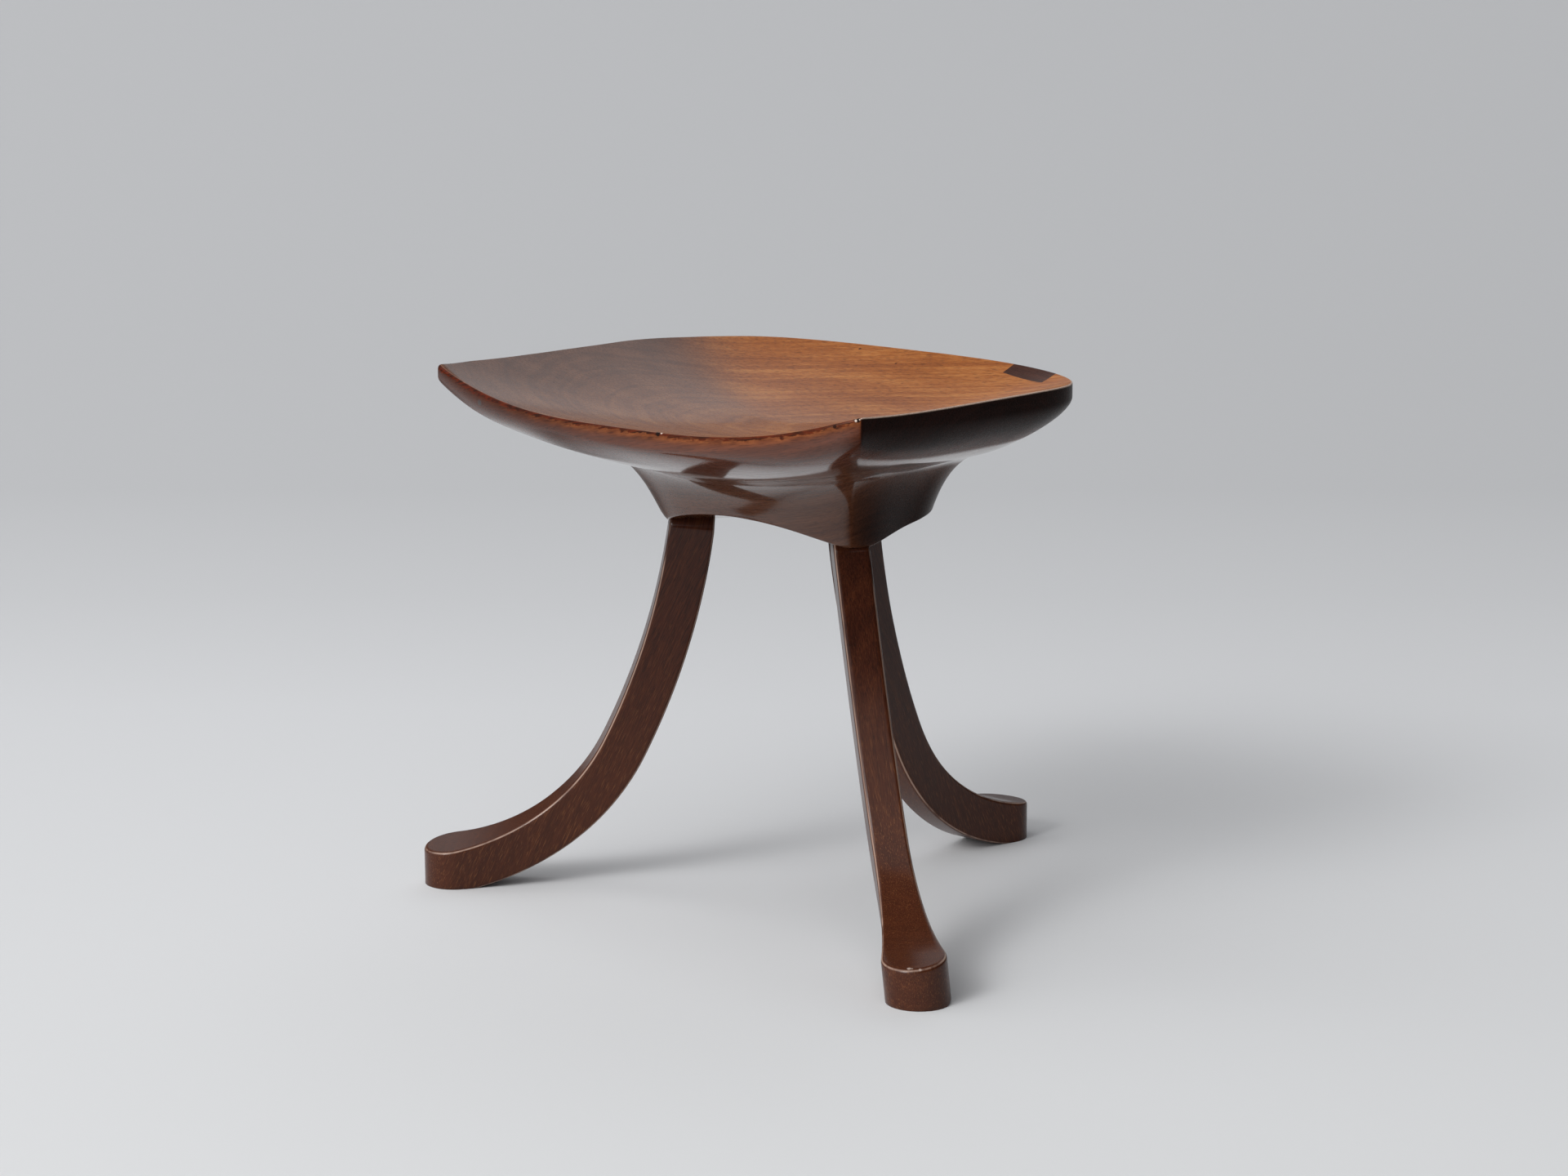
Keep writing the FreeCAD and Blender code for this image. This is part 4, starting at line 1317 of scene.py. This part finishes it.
@dataclass
class Leg:
    """Curved leg with a club toe and a wedged tenon, in the sizes of the solid it stands for."""

    corner: Corner
    seat: Seat
    top_angle: float = 7.0
    bend_angle: float = 26.0
    foot_angle: float = 82.0
    upper_radius: float = 493.0
    lower_radius: float = 150.0
    thickness: float = 30.0
    width: float = 23.0
    toe_width: float = 40.0
    toe_flare: float = 90.0
    arris: float = 2.5
    tenon: Triple = (20.0, 14.0, 38.0)
    tenon_root: float = 4.0
    wedge_length: float = 24.0
    wedge_head: float = 3.0
    wedge_tip: float = 0.8
    # Mesh: stations along the leg and points round it
    upper_stations: int = 30
    lower_stations: int = 34
    toe_stations: int = 18
    arris_points: int = 6
    side_points: int = 8
    face_shares: tuple[float, ...] = (0.06, 0.25, 0.5, 0.75, 0.94)
    # Bend over which its stations turn upright, in degrees
    upright_bend: float = 36.0
    # How far the shoulder reaches into the seat, so that no light shows through the joint
    bury: float = 0.4
    # Hand work, with a seed for each leg after the first one's
    unevenness: float = 0.3
    first_seed: float = 11.0

    def centre(self, lower: bool) -> np.ndarray:
        """Middle of one of the two bends.

        Args:
            lower: Whether the lower bend is meant.

        Returns:
            Distance outwards and height, from the shoulder.
        """
        top, bend = math.radians(self.top_angle), math.radians(self.bend_angle)
        upper = self.upper_radius * np.array([math.cos(top), math.sin(top)])
        if not lower:
            return upper
        return upper - (self.upper_radius - self.lower_radius) * np.array([math.cos(bend), math.sin(bend)])

    def reach(self) -> float:
        """Distance from the shoulder out to the middle of the toe."""
        return self.centre(True)[0] - self.lower_radius * math.cos(math.radians(self.foot_angle))

    def stations(self) -> list[tuple[float, float, np.ndarray]]:
        """Stations down the leg and round its toe.

        Returns:
            For each the path angle, the distance out, and the half width with its normal in plan.
        """
        top, bend, foot = (math.radians(a) for a in (self.top_angle, self.bend_angle, self.foot_angle))
        half, toe = self.width / 2, self.toe_width / 2
        start = self.reach() - self.toe_flare
        flare = (self.toe_flare ** 2 - toe ** 2 + half ** 2) / (2 * (toe - half))
        swing = math.atan2(half + flare, -self.toe_flare)
        rows = []
        for angle in np.linspace(top, bend, self.upper_stations, endpoint=False):
            out = self.centre(False)[0] - self.upper_radius * math.cos(angle)
            rows.append((angle, out, np.array([half, 0.0, 1.0])))
        last = self.reach() + toe * math.cos(swing)
        middle = self.centre(True)[0]
        for angle in np.linspace(bend, foot, self.lower_stations):
            out = middle - self.lower_radius * math.cos(angle)
            if out >= last:
                break
            along = max(0.0, out - start)
            rise = math.sqrt(flare ** 2 - along ** 2)
            rows.append((angle, out, np.array([half + flare - rise, -along / flare, rise / flare])))
        for turn in np.linspace(swing, 0.0, self.toe_stations):
            out = self.reach() + toe * math.cos(turn)
            rows.append((foot, out, np.array([toe * math.sin(turn), math.cos(turn), math.sin(turn)])))
        return rows

    def side(self) -> tuple[np.ndarray, np.ndarray]:
        """One side of a station, from top to bottom.

        Returns:
            Inset and height off the path of each point, and the wear of the arris there.
        """
        half = self.thickness / 2
        turn = np.linspace(math.pi / 2, 0, self.arris_points + 1)
        inset = self.arris - self.arris * np.cos(turn)
        level = half - self.arris + self.arris * np.sin(turn)
        wall = np.linspace(level[-1], -level[-1], self.side_points + 2)[1:-1]
        insets = np.concatenate([inset, np.zeros_like(wall), inset[::-1]])
        levels = np.concatenate([level, wall, -level[::-1]])
        wear = np.concatenate([np.sin(2 * turn), np.zeros_like(wall), np.sin(2 * turn)[::-1]])
        return np.column_stack([insets, levels]), wear

    def height(self, angle: float, out: np.ndarray, level: np.ndarray) -> tuple[np.ndarray, np.ndarray]:
        """Where points off the path lie: square to it on the upper leg, above each other on the foot.

        Args:
            angle: Angle of the path at this station, from the vertical.
            out: Distance out of each point, where it lies on the foot.
            level: Height of each point off the path, towards the outer face.

        Returns:
            Distance out and height of each point, from the shoulder.
        """
        bend, foot = math.radians(self.bend_angle), math.radians(self.foot_angle)
        lower = angle >= bend
        middle = self.centre(lower)
        radius = (self.lower_radius if lower else self.upper_radius) - level
        if not lower:
            return middle[0] - radius * math.cos(angle), middle[1] - radius * math.sin(angle)
        share = float(smooth(angle, bend, bend + math.radians(self.upright_bend)))
        upright = np.arccos(np.clip((middle[0] - out) / radius, -1.0, 1.0))
        turn = angle * (1 - share) + upright * share
        held = np.minimum(turn, foot)
        x = middle[0] - radius * np.cos(held)
        z = middle[1] - radius * np.sin(held)
        beyond = np.where(turn > foot, (out - x) / math.sin(foot), 0.0)
        return x + beyond * math.sin(foot), z - beyond * math.cos(foot)

    def loop(self, station: tuple[float, float, np.ndarray]) -> tuple[np.ndarray, np.ndarray]:
        """Points round the leg at one station.

        Args:
            station: Path angle, distance out and outline.

        Returns:
            The points in the leg's own frame, and the wear of its arrises there.
        """
        angle, out, (half, nose, across) = station
        side, wear = self.side()
        face = np.array(self.face_shares)[:, None]
        insets = side[:, 0]
        x, z = self.height(angle, out - nose * insets, side[:, 1])
        right = np.column_stack([x, half - across * insets, z])
        left = (right * [1, -1, 1])[::-1]
        bottom = right[-1] + (left[0] - right[-1]) * face
        top = left[-1] + (right[0] - left[-1]) * face
        plain = np.zeros(len(face))
        return np.concatenate([right, bottom, left, top]), np.concatenate([wear, plain, wear[::-1], plain])

    def placed(self, points: np.ndarray) -> np.ndarray:
        """Bring points to where the leg stands.

        Args:
            points: Points in the leg's own frame.

        Returns:
            The same points in the seat's frame.
        """
        x, y, heading, lean = self.corner.value
        turn = Matrix.Rotation(math.radians(heading), 3, "Z") @ Matrix.Rotation(math.radians(lean), 3, "X")
        return points @ np.array(turn).T + [x, y, self.seat.boss_level]

    def tenon_block(self) -> tuple[np.ndarray, list[tuple[int, ...]]]:
        """Upright tenon with the kerf for its wedge.

        Returns:
            Points in the seat's frame, and faces.
        """
        depth, width, length = self.tenon
        foot = length - self.wedge_length
        outline = [
            (-depth / 2, -self.tenon_root), (depth / 2, -self.tenon_root), (depth / 2, length),
            (self.wedge_head / 2, length), (self.wedge_tip / 2, foot), (-self.wedge_tip / 2, foot),
            (-self.wedge_head / 2, length), (-depth / 2, length),
        ]
        x, y, heading, _ = self.corner.value
        turn = np.array(Matrix.Rotation(math.radians(heading), 3, "Z"))
        near = np.array([(a, -width / 2, b) for a, b in outline])
        far = near * [1, -1, 1]
        points = np.concatenate([near, far]) @ turn.T + [x, y, self.seat.boss_level]
        count = len(outline)
        faces: list[tuple[int, ...]] = [tuple(range(count)), tuple(range(2 * count - 1, count - 1, -1))]
        faces += [((i + 1) % count, i, count + i, count + (i + 1) % count) for i in range(count)]
        return points, faces

    def mesh(self) -> bpy.types.Mesh:
        """Make the leg and its tenon as one mesh.

        Returns:
            The mesh, with its place in the uncut board and the wear of its arrises as attributes.
        """
        loops = [self.loop(station) for station in self.stations()]
        blank = np.array([points for points, _ in loops])
        wear = np.array([worn for _, worn in loops])
        points = self.placed(blank.reshape(-1, 3)).reshape(blank.shape)
        points[..., 2] = np.maximum(points[..., 2], 0.0)
        points[0, :, 2] = self.seat.underside(points[0, :, 0], points[0, :, 1]) + self.bury
        rows, columns = points.shape[:2]
        tenon, tenon_faces = self.tenon_block()
        vertices = np.concatenate([points.reshape(-1, 3), [points[0].mean(0)], tenon]) * MM
        cap = rows * columns
        faces = []
        for r in range(rows - 1):
            for c in range(columns):
                n = (c + 1) % columns
                faces.append((r * columns + c, r * columns + n, (r + 1) * columns + n, (r + 1) * columns + c))
        faces += [((c + 1) % columns, c, cap) for c in range(columns)]
        faces += [tuple(cap + 1 + i for i in face) for face in tenon_faces]
        mesh = bpy.data.meshes.new(self.corner.name.lower())
        mesh.from_pydata(vertices.tolist(), [], faces)
        extra = len(vertices) - cap
        board = np.concatenate([blank.reshape(-1, 3), np.zeros((extra, 3))])
        store(mesh, "board", board * MM)
        store(mesh, "arris", np.concatenate([wear.ravel(), np.zeros(extra)]))
        rough = bmesh.new()
        rough.from_mesh(mesh)
        bmesh.ops.remove_doubles(rough, verts=rough.verts, dist=MERGE)
        bmesh.ops.recalc_face_normals(rough, faces=rough.faces)
        rough.to_mesh(mesh)
        rough.free()
        mesh.update()
        return mesh

    def build(self, hand: HandWork, finish: bpy.types.Material) -> bpy.types.Object:
        """Carve the leg and dress it.

        Args:
            hand: Hand work that it gets.
            finish: Material of the leg.

        Returns:
            The finished piece.
        """
        name = f"leg_{self.corner.name.lower()}_carved"
        seed = self.first_seed + list(Corner).index(self.corner)
        return hand.carve(name, self.mesh(), finish, self.unevenness, seed)


@dataclass(frozen=True)
class SoftLamp:
    """Broad far lamp, as a large diffuser gives: where it stands, how wide it looks and how strong it is."""

    name: str
    toward: Triple
    angle: float
    strength: float

    def build(self) -> None:
        """Hang the lamp."""
        data = bpy.data.lights.new(self.name, "SUN")
        data.angle = math.radians(self.angle)
        data.energy = self.strength
        lamp = bpy.data.objects.new(self.name, data)
        bpy.context.scene.collection.objects.link(lamp)
        lamp.rotation_euler = Vector(self.toward).to_track_quat("Z", "Y").to_euler()


@dataclass(frozen=True)
class MattPaper:
    """Pale matt paper of the floor: no gloss, greyer away from the lamps as painted light falloff, a fine
    tooth; in metres.
    """

    # Scale of greys from near to far, along the way to the back: painted falloff of the light
    backwards: Triple = (-0.66, 0.751, 0.0)
    depth: Pair = (-0.6, 2.6)
    greys: Stops = ((0.0, "e3e4e5"), (0.35, "d8d9db"), (0.5, "cccdcf"), (0.68, "c2c3c5"), (1.0, "c1c2c4"))
    # Painted fall of the light to the right: tints over ranges of the slope from a place near the front
    rightwards: Triple = (0.751, 0.66, 0.0)
    front: float = 2.46
    nearest: float = 0.8
    painted_light_falls: tuple[tuple[Pair, str], ...] = (((-0.3, 0.3), "f2f2f2"), ((0.24, 0.8), "d8d8d8"))
    # Tooth, drawn coarser than a real paper's so that it shows: grains to the metre
    tooth: float = 900.0
    tooth_depth: float = 0.1 * MM
    relief: float = 0.05
    roughness: float = 0.9
    ior: float = 1.45
    specular: float = 0.2

    def material(self) -> bpy.types.Material:
        """Build the material.

        Returns:
            The material.
        """
        material, tree = new_material("matt_paper")
        add = partial(add_node, tree)
        place = add(Step.PLACE).outputs["Object"]
        # Painted light: greyer further back and darker to the right, as the lamps' light would fall off
        back = add(Step.ALONG, place, self.backwards)
        colour = add(Step.SCALE_OF_COLOURS, add(Step.RISE, back, *self.depth), stops=self.greys)
        distance = add(Step.AT_LEAST, add(Step.PLUS, back, self.front), self.nearest)
        aside = add(Step.OVER, add(Step.ALONG, place, self.rightwards), distance)
        for slope, tint in self.painted_light_falls:
            colour = add(Step.TINT, add(Step.EASE, aside, *slope), colour, linear(tint))
        tooth = add(Step.NOISE, named={"Vector": place, "Scale": self.tooth})
        bump = add(Step.BUMP, named={"Height": tooth, "Strength": self.relief, "Distance": self.tooth_depth})
        surface = add(Step.SURFACE, named={
            "Base Color": colour,
            "Roughness": self.roughness,
            "IOR": self.ior,
            "Specular IOR Level": self.specular,
            "Normal": bump,
        })
        add(Step.OUTPUT, named={"Surface": surface})
        return material


@dataclass
class Studio:
    """Pale paper floor, soft lamps, a dim room, and a camera at the photograph's angle. Places are metres."""

    eye: Triple = (1.5639, -1.8272, 0.6827)
    target: Triple = (-0.0295, -0.0147, 0.2031)
    lens: float = 85.6
    sensor: float = 36.0
    sight: float = 100.0
    floor_reach: float = 40.0
    lamps: tuple[SoftLamp, ...] = (
        SoftLamp("key_middle", (-0.03, -0.82, 0.565), 16.0, 0.65),
        SoftLamp("key", (-0.03, -0.82, 0.565), 30.0, 0.65),
        SoftLamp("key_edge", (-0.03, -0.82, 0.565), 46.0, 0.65),
        SoftLamp("fill", (-0.20, -0.73, 0.65), 110.0, 1.88),
    )
    # Room: greys from the horizon up, then colours that cover it round a direction
    walls: Stops = ((0.0, "2c2c2e"), (0.15, "38383a"), (0.5, "6c6d6f"), (0.9, "7c7d7f"))
    dark_side: tuple[Triple, Pair, str] = ((0.94, 0.30, 0.10), (0.2, 0.85), "101011")
    screen: tuple[Triple, Pair, str] = ((-0.36, 0.72, 0.59), (0.78, 0.97), "e0e2e6")

    def build(self) -> None:
        """Make the whole studio."""
        self.floor()
        for lamp in self.lamps:
            lamp.build()
        self.room()
        self.camera()

    def floor(self) -> None:
        """Wide paper floor."""
        mesh = bpy.data.meshes.new("floor")
        r = self.floor_reach
        mesh.from_pydata([(-r, -r, 0), (r, -r, 0), (r, r, 0), (-r, r, 0)], [], [(0, 1, 2, 3)])
        floor = new_piece("floor", mesh)
        mesh.materials.append(MattPaper().material())

    def room(self) -> None:
        """Dim room: dark along the horizon, paler overhead, with one pale screen at the back left."""
        world = bpy.data.worlds.new("dim_room")
        bpy.context.scene.world = world
        world.use_nodes = True
        tree = world.node_tree
        tree.nodes.clear()
        add = partial(add_node, tree)
        way = add(Step.PLACE).outputs["Generated"]
        colour = add(Step.SCALE_OF_COLOURS, add(Step.SPLIT, way).outputs["Z"], stops=self.walls)
        for toward, spread, code in (self.dark_side, self.screen):
            share = add(Step.EASE, add(Step.ALONG, way, toward), *spread)
            colour = add(Step.MIX, share, colour, linear(code))
        sky = add("ShaderNodeBackground", named={"Color": colour, "Strength": 1.0})
        add("ShaderNodeOutputWorld", named={"Surface": sky})

    def camera(self) -> None:
        """Camera that frames the stool as the photograph does."""
        data = bpy.data.cameras.new("camera")
        data.sensor_fit = "HORIZONTAL"
        data.sensor_width = self.sensor
        data.lens = self.lens
        data.clip_end = self.sight
        camera = bpy.data.objects.new("camera", data)
        bpy.context.scene.collection.objects.link(camera)
        eye, target = Vector(self.eye), Vector(self.target)
        camera.location = eye
        camera.rotation_euler = (target - eye).to_track_quat("-Z", "Y").to_euler()
        bpy.context.scene.camera = camera


def stand_in(piece: bpy.types.Object, node: str) -> None:
    """Let a piece ride on the stool in place of one of its solids.

    Args:
        piece: Finished piece.
        node: Name of the solid it stands for.
    """
    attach(piece, BODY)
    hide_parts(node)
    LOG.info("%s stands for %s, %d faces", piece.name, node, len(piece.data.polygons))


def main() -> None:
    """Build every piece, then the studio around it."""
    logging.basicConfig(level=logging.INFO)
    bpy.context.scene.view_settings.view_transform = "Standard"
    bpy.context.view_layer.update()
    hand = HandWork()
    seat = Seat()
    carved = seat.build(hand, SeatMahogany().material())
    stand_in(carved, "seat")
    leg_finish = LegMahogany().material()
    stand_in(Graft(seat).build(carved), "rim_patch")
    for corner in Corner:
        stand_in(Leg(corner, seat).build(hand, leg_finish), "leg_" + corner.name.lower())
    wedge_strokes = {"ribbon": Stroke(60.0, 4.0, 2.0), "fibre": Stroke(12.0, 0.6, 3.0)}
    upright = Grain((0.0, 0.0, 280.0), (0.0, 90.0, 0.0), **wedge_strokes)
    wedge_finish = PlainWood("wedge_wood", ("8a6238", "a1743f", "b98a50"), upright).material()
    for name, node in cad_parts.items():
        if name.startswith("wedge"):
            node.data.materials.clear()
            node.data.materials.append(wedge_finish)
            LOG.info("%s dressed in %s", name, wedge_finish.name)
    Studio().build()


if __name__ == "__main__":
    main()
